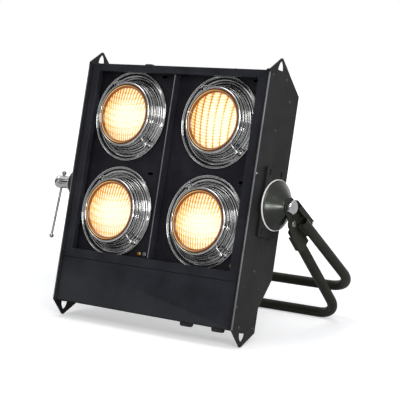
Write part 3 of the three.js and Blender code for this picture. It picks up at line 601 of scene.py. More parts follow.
# (radius, rise in front of the lamp plate), from the rolled lip in to the wall and back behind
holderSection = [
    (83.5, 2.0), (83.3, 3.5), (82.2, 4.0), (81.0, 3.2), (80.2, 1.7), (79.0, 1.4), (74.8, 0.6),
    (73.4, -0.4), (71.6, -3.0), (69.6, -4.0), (67.6, -3.4), (66.4, -0.6), (65.2, 0.6), (64.0, -0.2),
    (63.0, -2.4), (62.7, 3.0), (62.6, 9.4), (62.1, 10.5), (61.4, 10.4), (60.9, 8.5), (60.9, -4.4),
    (62.4, -5.2), (70.8, -5.3), (73.2, -4.2), (75.0, -0.4), (80.3, 0.6), (82.6, 0.9),
]
bezelSection = [
    (60.4, -3.6), (60.4, 12.5), (60.1, 13.4), (59.6, 13.8), (59.5, 14.6), (60.0, 15.3), (60.3, 16.4),
    (60.2, 19.8), (59.5, 22.1), (58.2, 23.4), (56.9, 23.5), (56.0, 22.9), (55.6, 21.9), (55.9, 21.3),
    (57.5, 21.1), (58.1, 20.4), (58.1, -3.4),
]
reflectorSection = [
    (56.3, 17.6), (56.0, 16.4), (54.6, 11.8), (50.6, 2.0), (44.0, -12.0), (33.0, -26.0),
    (20.0, -34.8), (8.0, -38.6), (0.0, -39.2), (0.0, -37.0), (8.0, -36.4), (19.2, -32.8),
    (31.6, -24.4), (42.2, -10.8), (48.6, 2.8), (52.6, 12.4), (53.6, 16.8), (54.2, 17.6),
]


def lampPoint(index):
    side = (-1, 1)[(index - 1) % 2]
    height = lamp["low"] + (lamp["pitch"] if index < 3 else 0)
    return np.array([side * lamp["across"], 0, height])


def lampTurned(index, section, closed=True, rounds=3):
    # a section with its corners cut, carried round the lamp's axis
    profile = rounded(section, rounds, closed)
    profile = np.stack([profile[:, 0], lamp["plate"] - profile[:, 1]], 1)
    return inCasing(turned(profile, lamp["facets"]) + lampPoint(index)), closed, True


# Lens: a crowned disc pressed with flutes, inside a raised bead
lens = {
    "edge": 57.0,
    "seat": 21.0,  # rise of the flat rim that the bezel holds
    "bead": 52.7,
    "beadHeight": 2.4,
    "beadHalf": 1.1,
    "wall": 49.4,
    "floor": 18.6,
    "crown": 6.6,
    "thick": 3.2,
    "fadeRate": 14,  # how fast the flutes die out at the wall
    "ribBow": 0.004,
}
pressed = {
    1: {"pitch": 5.6, "fan": 0.22, "depth": 0.5, "rib": 11.0, "ribDepth": 0.2, "kind": "flutes"},
    2: {"pitch": 15.2, "fan": 0.08, "depth": 1.1, "rib": 5.4, "ribDepth": 0.35, "kind": "bands"},
    3: {"pitch": 5.2, "fan": 0.22, "depth": 0.5, "rib": 12.0, "ribDepth": 0.2, "kind": "flutes"},
    4: {"pitch": 5.8, "fan": 0.12, "depth": 0.6, "rib": 9.0, "ribDepth": 0.3, "kind": "flutes"},
}


def lensRelief(across, up, spec):
    # upright flutes that fan out a little, crossed by shallow ribs that bow down
    fanned = across * (1 - spec["fan"] * up / lens["wall"])
    flutes = np.abs(np.cos(np.pi * fanned / spec["pitch"])) * spec["depth"]
    bowed = up - lens["ribBow"] * across**2
    return flutes + np.abs(np.cos(np.pi * bowed / spec["rib"])) * spec["ribDepth"]


def lensRim():
    # (radius, rise) from the fluted disc over the bead to the edge, then back behind to the middle
    wall, floor, seat, thick = lens["wall"], lens["floor"], lens["seat"], lens["thick"]
    bead, half, top = lens["bead"], lens["beadHalf"], seat + lens["beadHeight"]
    profile = [
        (wall + 0.2, floor + 0.3),
        (bead - half, seat - 0.4),
        (bead - half, top - 0.9),
        (bead - 0.5, top - 0.1),
        (bead, top),
        (bead + 0.5, top - 0.1),
        (bead + half, top - 0.9),
        (bead + half + 0.1, seat - 0.5),
        (54.6, seat - 0.9),
        (lens["edge"], seat - 0.3),
        (lens["edge"], seat - thick),
        (wall, floor - thick + 1.4),
        (30.0, floor + lens["crown"] * 0.65 - thick),
        (0.0, floor + lens["crown"] - thick),
    ]
    rim = rounded(profile, 1)
    return np.stack([rim[:, 0], lamp["plate"] - rim[:, 1]], 1)


def lensGrid(index):
    # a low dome, highest in the middle, plus the relief, which fades out at the wall; then the rim
    inner = np.linspace(0, lens["wall"], lamp["lensRows"])
    angle = np.linspace(0, 2 * np.pi, lamp["lensFacets"], endpoint=False)
    radius, turn = np.meshgrid(inner, angle, indexing="ij")
    across, up = radius * np.cos(turn), radius * np.sin(turn)
    share = radius / lens["wall"]
    rise = lens["floor"] + lens["crown"] * (1 - share**2)
    fade = np.clip((1 - share) * lens["fadeRate"], 0, 1)
    rise = rise + lensRelief(across, up, pressed[index]) * fade
    front = np.stack([across, lamp["plate"] - rise, up], -1)
    grid = np.concatenate([front, turned(lensRim(), lamp["lensFacets"])])
    return inCasing(grid + lampPoint(index)), False, True


def planeMap(mesh, index):
    # the lens's own map: across and up from the lamp's middle, as shares of the fluted radius
    verts = np.zeros(len(mesh.vertices) * 3)
    mesh.vertices.foreach_get("co", verts)
    local = turnAboutX(verts.reshape(-1, 3) / mm - casingCorner, -lean["casing"])
    local = local - lampPoint(index)
    corners = np.zeros(len(mesh.loops), int)
    mesh.loops.foreach_get("vertex_index", corners)
    flat = local[corners][:, [0, 2]] / lens["wall"]
    mesh.uv_layers.new(name="lensPlane").data.foreach_set("uv", flat.ravel())


# Lit glass: places are shares of the fluted radius
glow = {
    "deep": (206, 106, 26),
    "orange": (242, 160, 62),
    "yellow": (252, 208, 112),
    "cream": (254, 238, 176),
    "white": (255, 253, 232),
    "stops": {"deep": 0.0, "orange": 0.24, "yellow": 0.46, "cream": 0.66, "white": 0.85},
    "strength": 1.0,
    "rough": 0.12,
    "bump": (0.08, 0.0003),
    "hotAcross": 0.30,
    "hotUp": -0.12,
    "squash": 0.72,
    "core": (0.03, 1.9, 1.06, 0.56),  # heat, by the square of the distance from the hot spot
    "bite": (0.0, 0.9, 0.56, 0.94),  # how deep the flutes cut into the heat, by the same square
    "stripes": (0.10, 0.75, 0.35, 1.0),  # flutes grow stronger away from the middle
    "stripeLift": 0.08,
    "sparkle": (0.35, 0.7, -0.12, 0.16),
    "sparkleScale": 420.0,
    "unlit": (48, 34, 18),
    "unlitShare": 0.92,
    "wall": (124, 60, 16),
    "wallEdge": (0.985, 1.002),
    # the rim's dark amber is painted shade of the gap under the bezel lip, amber as a painted
    # reflection of the glow
    "rim": (58, 30, 12),
    "rimShadeEdge": (1.084, 1.093),
    # the bead's pale colour is a painted highlight on the lens's rim edge
    "bead": (232, 190, 118),
    "beadHighlightEdge": (0.020, 0.010),
    # painted highlight: the bead's pale line is strongest on the left
    "beadHighlightFade": (0.5, -0.7, 0.12, 1.0),  # the bead is brightest on the left
}
# how dark the lines between flutes and between ribs are, and how narrow
lines = {
    "flutes": {"grooveNarrow": 0.9, "ribNarrow": 2.6, "ribShare": 0.30},
    "bands": {"grooveNarrow": 2.6, "ribNarrow": 1.6, "ribShare": 0.55},
}


def valley(tree, place, pitch):
    # 0 on a crest and 1 in a valley of waves of this pitch, in shares of the fluted radius
    turns = calc(tree, "MULTIPLY", place, math.pi * lens["wall"] / pitch)
    return calc(tree, "SUBTRACT", 1.0, calc(tree, "ABSOLUTE", calc(tree, "COSINE", turns)))


def lineDarkness(tree, across, up, spec):
    # the same fanned flutes and bowed ribs as in the relief
    line = lines[spec["kind"]]
    fan = calc(tree, "SUBTRACT", 1.0, calc(tree, "MULTIPLY", up, spec["fan"]))
    groove = valley(tree, calc(tree, "MULTIPLY", across, fan), spec["pitch"])
    squared = calc(tree, "MULTIPLY", across, across)
    bend = calc(tree, "MULTIPLY", squared, lens["ribBow"] * lens["wall"])
    rib = valley(tree, calc(tree, "SUBTRACT", up, bend), spec["rib"])
    away = calc(tree, "ABSOLUTE", calc(tree, "ADD", up, glow["stripeLift"]))
    striped = mapRange(tree, away, *glow["stripes"]) if spec["kind"] == "flutes" else 1.0
    depth = calc(tree, "MULTIPLY", calc(tree, "POWER", groove, line["grooveNarrow"]), striped)
    cross = calc(tree, "MULTIPLY", calc(tree, "POWER", rib, line["ribNarrow"]), line["ribShare"])
    return calc(tree, "ADD", depth, cross)


def filamentHeat(tree, across, up, dark, sparkle):
    # heat falls away from the filament's image, less the lines, plus a little sparkle
    dx = calc(tree, "SUBTRACT", across, glow["hotAcross"])
    dy = calc(tree, "SUBTRACT", up, glow["hotUp"])
    high = calc(tree, "MULTIPLY", calc(tree, "MULTIPLY", dy, dy), glow["squash"])
    squared = calc(tree, "ADD", calc(tree, "MULTIPLY", dx, dx), high)
    core = mapRange(tree, squared, *glow["core"], smooth=False)
    bite = mapRange(tree, squared, *glow["bite"], smooth=False)
    heat = calc(tree, "SUBTRACT", core, calc(tree, "MULTIPLY", dark, bite))
    return calc(tree, "ADD", heat, sparkle, clamp=True)


def heatColour(tree, heat):
    ramp = addNode(tree, "ValToRGB", {"Fac": heat})
    elements = ramp.color_ramp.elements
    while len(elements) < len(glow["stops"]):
        elements.new(0.5)
    for element, (tone, place) in zip(elements, glow["stops"].items()):
        element.position = place
        element.color = colour(*glow[tone])
    return ramp.outputs["Color"]


def glassMaterial(name, spec):
    material, tree, shader, point = newMaterial(name, glow["rough"])
    flat = addNode(tree, "UVMap", uv_map="lensPlane").outputs[0]
    parts = addNode(tree, "SeparateXYZ", {0: flat}).outputs
    across, up = parts["X"], parts["Y"]
    radius = addNode(tree, "VectorMath", {0: flat}, operation="LENGTH").outputs["Value"]
    dark = lineDarkness(tree, across, up, spec)
    speckle = noise(tree, point, glow["sparkleScale"], 2.0, 0.6)
    sparkle = mapRange(tree, speckle, *glow["sparkle"])
    lit = heatColour(tree, filamentHeat(tree, across, up, dark, sparkle))
    # outside the fluted disc: an amber wall, a pale bead that is a painted highlight, then the dark
    # amber rim that is painted shade of the gap under the bezel lip
    lit = mixColour(tree, mapRange(tree, radius, *glow["wallEdge"]), lit, colour(*glow["wall"]))
    lit = mixColour(tree, mapRange(tree, radius, *glow["rimShadeEdge"]), lit, colour(*glow["rim"]))
    offBead = calc(tree, "ABSOLUTE", calc(tree, "SUBTRACT", radius, lens["bead"] / lens["wall"]))
    beadHighlightLine = mapRange(tree, offBead, *glow["beadHighlightEdge"])
    beadHighlightShare = calc(tree, "MULTIPLY", beadHighlightLine, mapRange(tree, across, *glow["beadHighlightFade"]))
    lit = mixColour(tree, beadHighlightShare, lit, colour(*glow["bead"]))
    tree.links.new(lit, shader.inputs["Emission Color"])
    shader.inputs["Emission Strength"].default_value = glow["strength"]
    unlit = mixColour(tree, glow["unlitShare"], lit, colour(*glow["unlit"]))
    tree.links.new(unlit, shader.inputs["Base Color"])
    addBump(tree, shader, sparkle, *glow["bump"])
    return material


# Clip screw: a ball on a post, with a short rod that ends in a small ball over the bezel
clip = {
    "reach": 76.5,
    "angle": -43.0,
    "ball": 4.2,
    "post": 2.6,
    "rod": 1.3,
    "tip": 2.0,
    "tipReach": 61.6,
    "rise": 14.4,
    "foot": 2.2,
    "collar": 4.6,
    "collarHeight": 1.9,
}


def ballAndStick(index):
    # half a circle, a post and a collar turned about the screw, and the rod about its own line
    angle = math.radians(clip["angle"])
    c, s = math.cos(angle), math.sin(angle)
    ball, post, rod, tip = clip["ball"], clip["post"], clip["rod"], clip["tip"]
    centre = lampPoint(index) + np.array([c, 0, s]) * clip["reach"]
    centre = centre + (0, lamp["plate"] - clip["rise"], 0)
    swing = np.linspace(-np.pi / 2, np.pi / 2, 24)[:-5]
    foot = clip["rise"] - clip["foot"]
    step = foot - clip["collarHeight"]
    collar = [(post, ball * 0.95), (post, step - 0.3), (clip["collar"], step), (clip["collar"], foot)]
    rows = [(ball * math.cos(a), ball * math.sin(a)) for a in swing] + collar + [(0.0, foot)]
    screwGrid = turned(rows, 40)
    reach = clip["reach"] - clip["tipReach"]
    tipSwing = np.linspace(-np.pi / 2, 0.9, 14)
    rows = [(tip * math.cos(a), -reach + tip * math.sin(a)) for a in tipSwing]
    rodGrid = turned(rows + [(rod, -ball * 0.8), (0.0, -ball * 0.8)], 28, "x")
    aimed = rodGrid @ np.array([[c, 0, s], [0, 1, 0], [-s, 0, c]])
    return [(inCasing(grid + centre), False, True) for grid in (screwGrid, aimed)]


# Hook tab: a small bent strip from the flange, up, and in over the bezel
hook = {
    "reach": 73.0,
    "angle": 127.0,
    "width": 4.6,
    "thick": 1.6,
    "path": [
        (4.5, -1.2), (4.4, -4.5), (3.6, -7.2), (1.6, -9.2), (-1.6, -9.9), (-6.0, -9.4), (-9.0, -8.2),
    ],
    "corner": 0.4,  # how square its section is
}


def squareWave(wave):
    # a sine or cosine pushed out towards a square wave
    return np.sign(wave) * np.abs(wave) ** hook["corner"]


def hookTab(index):
    # a flat section, a squared-off oval, carried along the path and closed at its ends
    path = rounded(hook["path"], 2)
    step = np.gradient(path, axis=0)
    normal = np.stack([-step[:, 1], step[:, 0]], 1) / np.linalg.norm(step, axis=1)[:, None]
    ring = np.linspace(0, 2 * np.pi, 20, endpoint=False)
    half = squareWave(np.cos(ring)) * hook["thick"] / 2
    wide = squareWave(np.sin(ring)) * hook["width"] / 2
    ends = np.ones((len(path), 1))
    ends[0] = ends[-1] = 0
    out = path[:, :1] + normal[:, :1] * half * ends
    depth = path[:, 1:] + normal[:, 1:] * half * ends
    side = wide[None, :] * ends
    angle = math.radians(hook["angle"])
    outward = np.array([math.cos(angle), 0, math.sin(angle)])
    along = np.array([-math.sin(angle), 0, math.cos(angle)])
    inward = np.array([0, 1, 0])
    points = (hook["reach"] + out)[..., None] * outward + side[..., None] * along
    points = points + (lamp["plate"] + depth)[..., None] * inward
    return inCasing(points + lampPoint(index)), False, True


def lampPieces(number):
    chrome, pan, silver = paint["chromePlate"], paint["panChrome"], paint["reflectorSilver"]
    glass = glassMaterial(f"litGlass{number}", pressed[number])
    holder = meshOf(f"lampHolder{number}", [lampTurned(number, holderSection)], 60)
    bezel = meshOf(f"lampBezel{number}", [lampTurned(number, bezelSection)], 60)
    bowl = meshOf(f"lampReflector{number}", [lampTurned(number, reflectorSection, False)], 60)
    disc = meshOf(f"lampLens{number}", [lensGrid(number)], 70)
    planeMap(disc, number)
    stick = meshOf(f"lampClip{number}", ballAndStick(number), 50)
    for mesh, material, slot, node in (
        (holder, pan, "chrome_plate", "lamp_holder"),
        (bezel, chrome, "chrome_plate", "lamp_bezel"),
        (bowl, silver, "reflector_silvering", "lamp_reflector"),
        (disc, glass, "lens_glass", "lamp_lens"),
        (stick, chrome, "chrome_plate", "lamp_clip"),
    ):
        addPiece(mesh.name, mesh, material, "casing", [f"{node}_{number}"])
    tab = meshOf(f"lampHook{number}", [hookTab(number)], 50)
    addPiece(tab.name, tab, chrome, "casing")


for number in (1, 2, 3, 4):
    lampPieces(number)
print("lamps made")


# Pivot on each side: ring, cone, bolt and nut, stud
turn = {"facets": 144, "bore": 8.3}
cone = {
    "baseShare": 0.955,  # base of the plain solid over the ring's radius
    # (share of the radius, share of the height), from the foot of the flank to its top
    "flank": [
        (0.978, 0.0), (0.975, 0.035), (0.93, 0.08), (0.77, 0.32),
        (0.56, 0.62), (0.42, 0.845), (0.36, 0.93), (0.33, 1.0),
    ],
}


def aboutAxis(grid, closed):
    return grid + mainAxis * (0, 1, 1), closed, True


def facingOut(node):
    # place of the inner and outer end along X, and which way is out
    low, high = boxOf(node)
    side = 1 if low[0] > middleX else -1
    return (low[0], high[0], 1) if side > 0 else (high[0], low[0], -1)


def radiusOf(node):
    low, high = boxOf(node)
    return (high[2] - low[2]) / 2


def turnedRing(name, node, material, body, edge=0.5):
    # a flat ring: a rectangle with its outer corners cut, turned about the pivot's axis
    inner, outer, side = facingOut(node)
    radius, bore, e = radiusOf(node), turn["bore"], edge * side
    section = [
        (bore, inner), (radius - edge, inner), (radius, inner + e),
        (radius, outer - e), (radius - edge, outer), (bore, outer),
    ]
    grid = turned(rounded(section, 1, True, 0.12), turn["facets"], "x")
    mesh = meshOf(name, [aboutAxis(grid, True)], 40)
    return addPiece(name, mesh, material, body, [node])


def coneMesh(name, node):
    # the hollowed flank, drawn in from the base to the top, turned about the pivot's axis
    inner, outer = facingOut(node)[:2]
    radius = radiusOf(node) / cone["baseShare"]
    flank = [(r * radius, inner + h * (outer - inner)) for r, h in cone["flank"]]
    section = [(turn["bore"], inner), *flank, (turn["bore"], outer)]
    grid = turned(rounded(section, 2, True, 0.2), turn["facets"], "x")
    return meshOf(name, [aboutAxis(grid, True)], 40)


def sixSidedGrid(rows, radius, facets=144):
    # each row's radius all round, cut short where the hexagon's side is nearer
    rows = np.array(rows)
    angle = np.linspace(0, 2 * np.pi, facets, endpoint=False)[None, :]
    spread = np.minimum(rows[:, :1] + 0 * angle, radius * sixSided(angle))
    return np.stack([rows[:, 1:] + 0 * angle, spread * np.cos(angle), spread * np.sin(angle)], -1)


def hexHead(inner, outer, radius, chamfer=1.6):
    # a hexagon whose corners are cut by a cone at the outer face, closed at both ends
    way = math.copysign(1, outer - inner)
    rows = [
        (0.0, inner),
        (radius * 0.98, inner),
        (radius, inner + way * 0.3),
        (radius, outer - way * chamfer),
        (radius * 0.93, outer - way * chamfer * 0.45),
        (radius * 0.84, outer),
        (radius * 0.5, outer),
        (0.0, outer),
    ]
    return sixSidedGrid(rows, radius)


def hexNut(inner, outer, radius, bore):
    # a hexagon whose corners are cut by a cone at both faces, round an open bore
    way = math.copysign(1.5, outer - inner)
    rows = [
        (bore, inner),
        (radius * 0.86, inner),
        (radius, inner + way),
        (radius, outer - way),
        (radius * 0.86, outer),
        (bore, outer),
    ]
    return sixSidedGrid(rows, radius)


bolt = {
    "shank": 8.0,
    "thread": 0.45,
    "pitch": 1.5,
    "rowsPerTurn": 8,
    "head": 13.6,
    "headHeight": 7.6,
    "studStart": 4.0,
}


def threaded(start, end, radius, facets=48):
    # a thread: the radius swings with the place along the shank and the angle round it
    rows = max(int(abs(end - start) / bolt["pitch"] * bolt["rowsPerTurn"]), 8)
    angle = np.linspace(0, 2 * np.pi, facets, endpoint=False)[None, :]
    place = np.linspace(start, end, rows)[:, None] + 0 * angle
    wave = np.abs((place / bolt["pitch"] - angle / (2 * np.pi)) % 1 - 0.5) * 2
    ends = np.ones((rows, 1))
    ends[0] = ends[-1] = 0
    spread = (radius - bolt["thread"] * wave) * ends
    return np.stack([place, spread * np.cos(angle), spread * np.sin(angle)], -1)


def pivotHardware():
    chrome, zinc, nylon = paint["chromePlate"], paint["zincSteel"], paint["paleNylon"]
    for side in ("left", "right"):
        turnedRing(f"{side}PivotRing", f"{side}_pivot_ring", nylon, "casing")
        name, node = f"{side}PivotCone", f"{side}_pivot_cone"
        addPiece(name, coneMesh(name, node), paint["coneLacquer"], "casing", [node])
    inner, outer = facingOut("right_pivot_bolt")[:2]
    head = hexHead(outer - bolt["headHeight"], outer, bolt["head"])
    shank = threaded(inner, outer - bolt["headHeight"] / 2, bolt["shank"])
    mesh = meshOf("rightPivotBolt", [aboutAxis(head, False), aboutAxis(shank, False)], 30)
    addPiece("rightPivotBolt", mesh, chrome, "casing", ["right_pivot_bolt"])
    nutInner, nutOuter = facingOut("right_pivot_nut")[:2]
    nut = hexNut(nutInner, nutOuter, bolt["head"], turn["bore"])
    mesh = meshOf("rightPivotNut", [aboutAxis(nut, True)], 30)
    addPiece("rightPivotNut", mesh, zinc, "casing", ["right_pivot_nut"])
    # the stud's inner head stands where the nut stands on the other side
    inner, outer = facingOut("left_pivot_stud")[:2]
    wall, back = 2 * middleX - nutOuter, 2 * middleX - nutInner
    head = hexHead(wall, back, bolt["head"])
    shank = threaded(back + bolt["studStart"], outer, bolt["shank"])
    mesh = meshOf("leftPivotStud", [aboutAxis(head, False), aboutAxis(shank, False)], 30)
    addPiece("leftPivotStud", mesh, zinc, "casing", ["left_pivot_stud"])
    turnedRing("frictionWasher", "friction_washer", nylon, "yoke")


pivotHardware()
print("pivots made")


# Locking handle: disc, fluted boss and sliding bar
handle = {
    "disc": 27.0,
    "discThick": 9.0,
    "discBore": 8.3,
    "boss": 12.4,
    "flutes": 12,
    "fluteDepth": 0.075,
    "fluteEnds": (11.5, 12.0),
    "barRadius": 2.3,
    "ball": 4.6,
    # (share of the boss's radius, place out from the disc) and the same in from the outer end
    "nearDisc": [
        (0.0, 0.5), (0.96, 0.5), (0.96, -2.0), (1.0, -3.0), (1.0, -8.0),
        (0.93, -9.0), (0.93, -10.5), (1.0, -11.5),
    ],
    "nearEnd": [
        (1.0, 12.0), (0.93, 11.0), (0.93, 9.5), (1.0, 8.5), (1.0, 3.6),
        (0.9, 1.6), (0.66, 0.4), (0.3, 0.0), (0.0, 0.0),
    ],
}


def bossGrid():
    # a profile with two waists, turned; between the waists the radius dips at each flute
    inner, outer, side = facingOut("handle_boss")
    start, b = inner + side * handle["discThick"], handle["boss"]
    rows = [(b * share, start + place) for share, place in handle["nearDisc"]]
    rows += [(b * share, outer + place) for share, place in handle["nearEnd"]]
    profile = rounded(rows, 1, False, 0.15)
    angle = np.linspace(0, 2 * np.pi, 192, endpoint=False)[None, :]
    place = profile[:, 1:] + 0 * angle
    fromDisc, fromEnd = handle["fluteEnds"]
    inFlutes = ((place < start - fromDisc) & (place > outer + fromEnd)).astype(float)
    wave = np.clip(np.cos(angle * handle["flutes"]) * 1.6, 0, 1)
    spread = profile[:, :1] * (1 - handle["fluteDepth"] * inFlutes * wave)
    return np.stack([place, spread * np.cos(angle), spread * np.sin(angle)], -1)


def discGrid():
    # a thick disc with a rounded rim and a shallow recess in its outer face, turned
    inner = facingOut("handle_boss")[0]
    d, bore, face = handle["disc"], handle["discBore"], inner - handle["discThick"]
    rim = [
        (bore, inner), (d - 1, inner), (d, inner - 1), (d, face + 3),
        (d - 3, face), (d * 0.62, face), (d * 0.56, face + 0.6), (bore, face + 0.6),
    ]
    return turned(rounded(rim, 1, True, 0.15), turn["facets"], "x")


def barGrid():
    # a straight bar between two part circles, turned about its own line and leaned with the handle
    low, high = boxOf("tommy_bar")
    bar, ball = handle["barRadius"], handle["ball"]
    length = (high[2] - low[2] - 2 * ball) / math.cos(math.radians(lean["handle"]))
    swing = np.linspace(-np.pi / 2, math.acos(bar / ball), 16)
    lower = np.stack([ball * np.cos(swing), -length / 2 + ball * np.sin(swing)], 1)
    profile = np.concatenate([lower, lower[::-1] * (1, -1)])
    upright = turned(profile, 40)[..., [0, 2, 1]]
    return centreOf("tommy_bar") + turnAboutX(upright, lean["handle"])


def handlePieces():
    boss = meshOf("handleBoss", [aboutAxis(bossGrid(), False)], 40)
    addPiece("handleBoss", boss, paint["chromePlate"], "handle", ["handle_boss"])
    disc = meshOf("handleDisc", [aboutAxis(discGrid(), True)], 40)
    addPiece("handleDisc", disc, paint["darkSteel"], "handle")
    bar = meshOf("tommyBar", [(barGrid(), False, True)], 50)
    addPiece("tommyBar", bar, paint["zincSteel"], "bar", ["tommy_bar"])


handlePieces()
print("handle made")


# Bent tubes of the yoke and the stand
tube = {"radius": 9.2, "wall": 1.6, "sides": 40, "bendSteps": 22, "sideSteps": 12, "barSteps": 14}
tubes = {
    "yokeTube": {
        "node": "yoke_tube", "body": "yoke", "place": inYoke,
        "bend": 56.0, "start": 36.0, "shift": -4.5,
    },
    "standTube": {
        "node": "stand_tube", "body": "stand", "place": inStand,
        "bend": 45.0, "start": 25.0, "shift": 3.5,
    },
}


def uPath(across, start, reach, bend):
    # down one side, a round bend, across, a round bend and up: places and headings in its plane
    angle = np.linspace(0, np.pi / 2, tube["bendSteps"])
    straight = np.linspace(start, reach - bend, tube["sideSteps"])[:-1]
    side = np.stack([across + 0 * straight, -straight], 1)
    turnX, turnZ = across - bend, -(reach - bend)
    corner = np.stack([turnX + bend * np.cos(angle), turnZ - bend * np.sin(angle)], 1)
    half = np.concatenate([side, corner])
    heading = np.concatenate([np.zeros(len(straight)), angle])
    middle = np.linspace(turnX, -turnX, tube["barSteps"])[1:-1]
    bar = np.stack([middle, -reach + 0 * middle], 1)
    places = np.concatenate([half, bar, half[::-1] * (-1, 1)])
    headings = [heading, np.full(len(middle), np.pi / 2), np.pi - heading[::-1]]
    return places, np.concatenate(headings)


def tubeMesh(name, spec):
    # circles square to the path make the outer wall, and smaller ones on the way back the inner
    low, high = boxOf(spec["node"])
    across = (high[0] - low[0]) / 2 - tube["radius"]
    angle = math.radians(lean[spec["body"]])
    axis = mainAxis if spec["body"] == "yoke" else standAxis
    drop = axis[2] - low[2] + spec["shift"] * math.sin(angle) - tube["radius"]
    places, headings = uPath(across, spec["start"], drop / math.cos(angle), spec["bend"])
    around = np.linspace(0, 2 * np.pi, tube["sides"], endpoint=False)[None, :, None]
    outward = np.stack([np.cos(headings), 0 * headings, -np.sin(headings)], 1)[:, None]
    centre = np.stack([places[:, 0], spec["shift"] + 0 * headings, places[:, 1]], 1)[:, None]
    circle = np.cos(around) * outward + np.sin(around) * np.array([0, 1, 0])
    outer = centre + tube["radius"] * circle
    inner = centre + (tube["radius"] - tube["wall"]) * circle
    grid = np.concatenate([outer, inner[::-1]])
    return meshOf(name, [(spec["place"](grid), True, True)], 40)


for tubeName, tubeSpec in tubes.items():
    tubeShape = tubeMesh(tubeName, tubeSpec)
    tubeNodes = [tubeSpec["node"]]
    addPiece(tubeName, tubeShape, paint["tubeCoat"], tubeSpec["body"], tubeNodes)


# Hinge bolts between the two yokes
hinge = {"shank": 3.0, "head": 6.2, "headHeight": 3.5, "nutHeight": 2.6, "chamfers": (0.9, 0.7)}


def hingeBolt(side):
    # a hexagon head and a hexagon nut on a plain turned shank
    node = f"{side}_hinge_bolt"
    inner, outer, way = facingOut(node)
    centre = centreOf(node) * (0, 1, 1)
    head = hexHead(inner + way * hinge["headHeight"], inner, hinge["head"], hinge["chamfers"][0])
    nut = hexHead(outer - way * hinge["nutHeight"], outer, hinge["head"], hinge["chamfers"][1])
    start, end = inner + way, outer - way * 0.8
    rows = [(0.0, start), (hinge["shank"], start), (hinge["shank"], end), (0.0, end)]
    shank = turned(rows, 40, "x")
    grids = [(grid + centre, False, True) for grid in (head, nut, shank)]
    name = f"{side}HingeBolt"
    addPiece(name, meshOf(name, grids, 30), paint["zincSteel"], "yoke", [node])


hingeBolt("left")
hingeBolt("right")
print("yokes made")


# Cable glands: a ribbed nut on a threaded body
gland = {
    "radius": 12.0,
    "bore": 7.0,
    "shank": 9.2,
    "drop": 7.0,
    "sheet": 1.8,
    "nut": 6.0,
    "depth": 20.0,
    "ribs": 20,
    "ribDepth": 0.5,
}


def glandMesh(index):
    # a stepped profile turned about the bore; below the sheet its radius swings with the ribs
    x = centreOf(f"cable_gland_{index}")[0] - middleX
    r, bore, shank = gland["radius"], gland["bore"], gland["shank"]
    foot, sheet = -gland["drop"], gland["sheet"]
    top = sheet + gland["nut"]
    rows = [
        (bore, foot), (r - 2.4, foot), (r - 0.8, foot + 1.4), (r, -3.4), (r, -1.0), (r - 0.6, -0.3),
        (shank, -0.3), (shank, sheet), (r, sheet), (r, top), (bore, top),
    ]
    profile = rounded(rows, 1, True, 0.12)
    angle = np.linspace(0, 2 * np.pi, 160, endpoint=False)[None, :]
    place = profile[:, 1:] + 0 * angle
    grip = ((place < -0.6) & (profile[:, :1] > r - 2)).astype(float)
    spread = profile[:, :1] - gland["ribDepth"] * grip * (1 + np.cos(angle * gland["ribs"]))
    points = np.stack([spread * np.cos(angle), spread * np.sin(angle), place], -1)
    placed = inCasing(points + (x, gland["depth"], 0))
    return meshOf(f"cableGland{index}", [(placed, True, True)], 40)


for number in (1, 2):
    mesh = glandMesh(number)
    nodes = [f"cable_gland_{number}"]
    addPiece(mesh.name, mesh, paint["glandPlastic"], "casing", nodes)


# Small screws: a domed head with a cross recess
screw = {
    "rows": 14,
    "facets": 40,
    "dome": 0.86,
    "recess": 0.55,
    "slotWidth": 0.16,
    "slotReach": 0.62,
    "sunk": 0.2,
}


def screwHead(radius, height):
    # a dome's height against radius, less a cross cut in the middle; the last rows close the back
    share = np.concatenate([np.linspace(0, 1, screw["rows"]), [1.0, 0.0]])[:, None]
    angle = np.linspace(0, 2 * np.pi, screw["facets"], endpoint=False)[None, :]
    across, up = share * np.cos(angle), share * np.sin(angle)
    dome = height * np.sqrt(np.clip(1 - screw["dome"] * share**2, 0, 1)) + 0 * angle
    nearArm = np.minimum(np.abs(across), np.abs(up)) < screw["slotWidth"]
    dome = dome - (nearArm & (share < screw["slotReach"])) * screw["recess"] * height
    dome[-2:] = -screw["sunk"]
    return np.stack([across * radius, up * radius, dome], -1)


def placeHeads(name, places, normal, up, size, finish):
    # the same head set down at each place, facing along the normal
    normal, up = np.array(normal, float), np.array(up, float)
    side = np.cross(up, normal)
    head = screwHead(*size)
    local = head[..., :1] * side + head[..., 1:2] * up + head[..., 2:] * normal
    grids = [(inCasing(local + np.array(place, float)), False, True) for place in places]
    return addPiece(name, meshOf(name, grids, 35), paint[finish], "casing")


panelLow, panelHigh = boxOf("left_side_panel")[0], boxOf("right_side_panel")[1]
halfWidth = (panelHigh[0] - panelLow[0]) / 2
panelScrewPlaces = [
    (11, 441), (53, 440), (71, 404.5), (41, 349), (40, 105),
    (61, 75), (19, 74), (5, 41), (20, 7), (60.6, 7.3),
]
panelRivet = (5.0, 270.0)
for sideName, sideWay in (("left", -1), ("right", 1)):
    outward = (sideWay, 0, 0)
    spots = [(sideWay * halfWidth, y, z) for y, z in panelScrewPlaces]
    placeHeads(f"{sideName}PanelScrews", spots, outward, (0, 0, 1), (2.9, 1.3), "darkSteel")
    spots = [(sideWay * halfWidth, *panelRivet)]
    placeHeads(f"{sideName}PanelRivet", spots, outward, (0, 0, 1), (1.7, 1.0), "chromePlate")
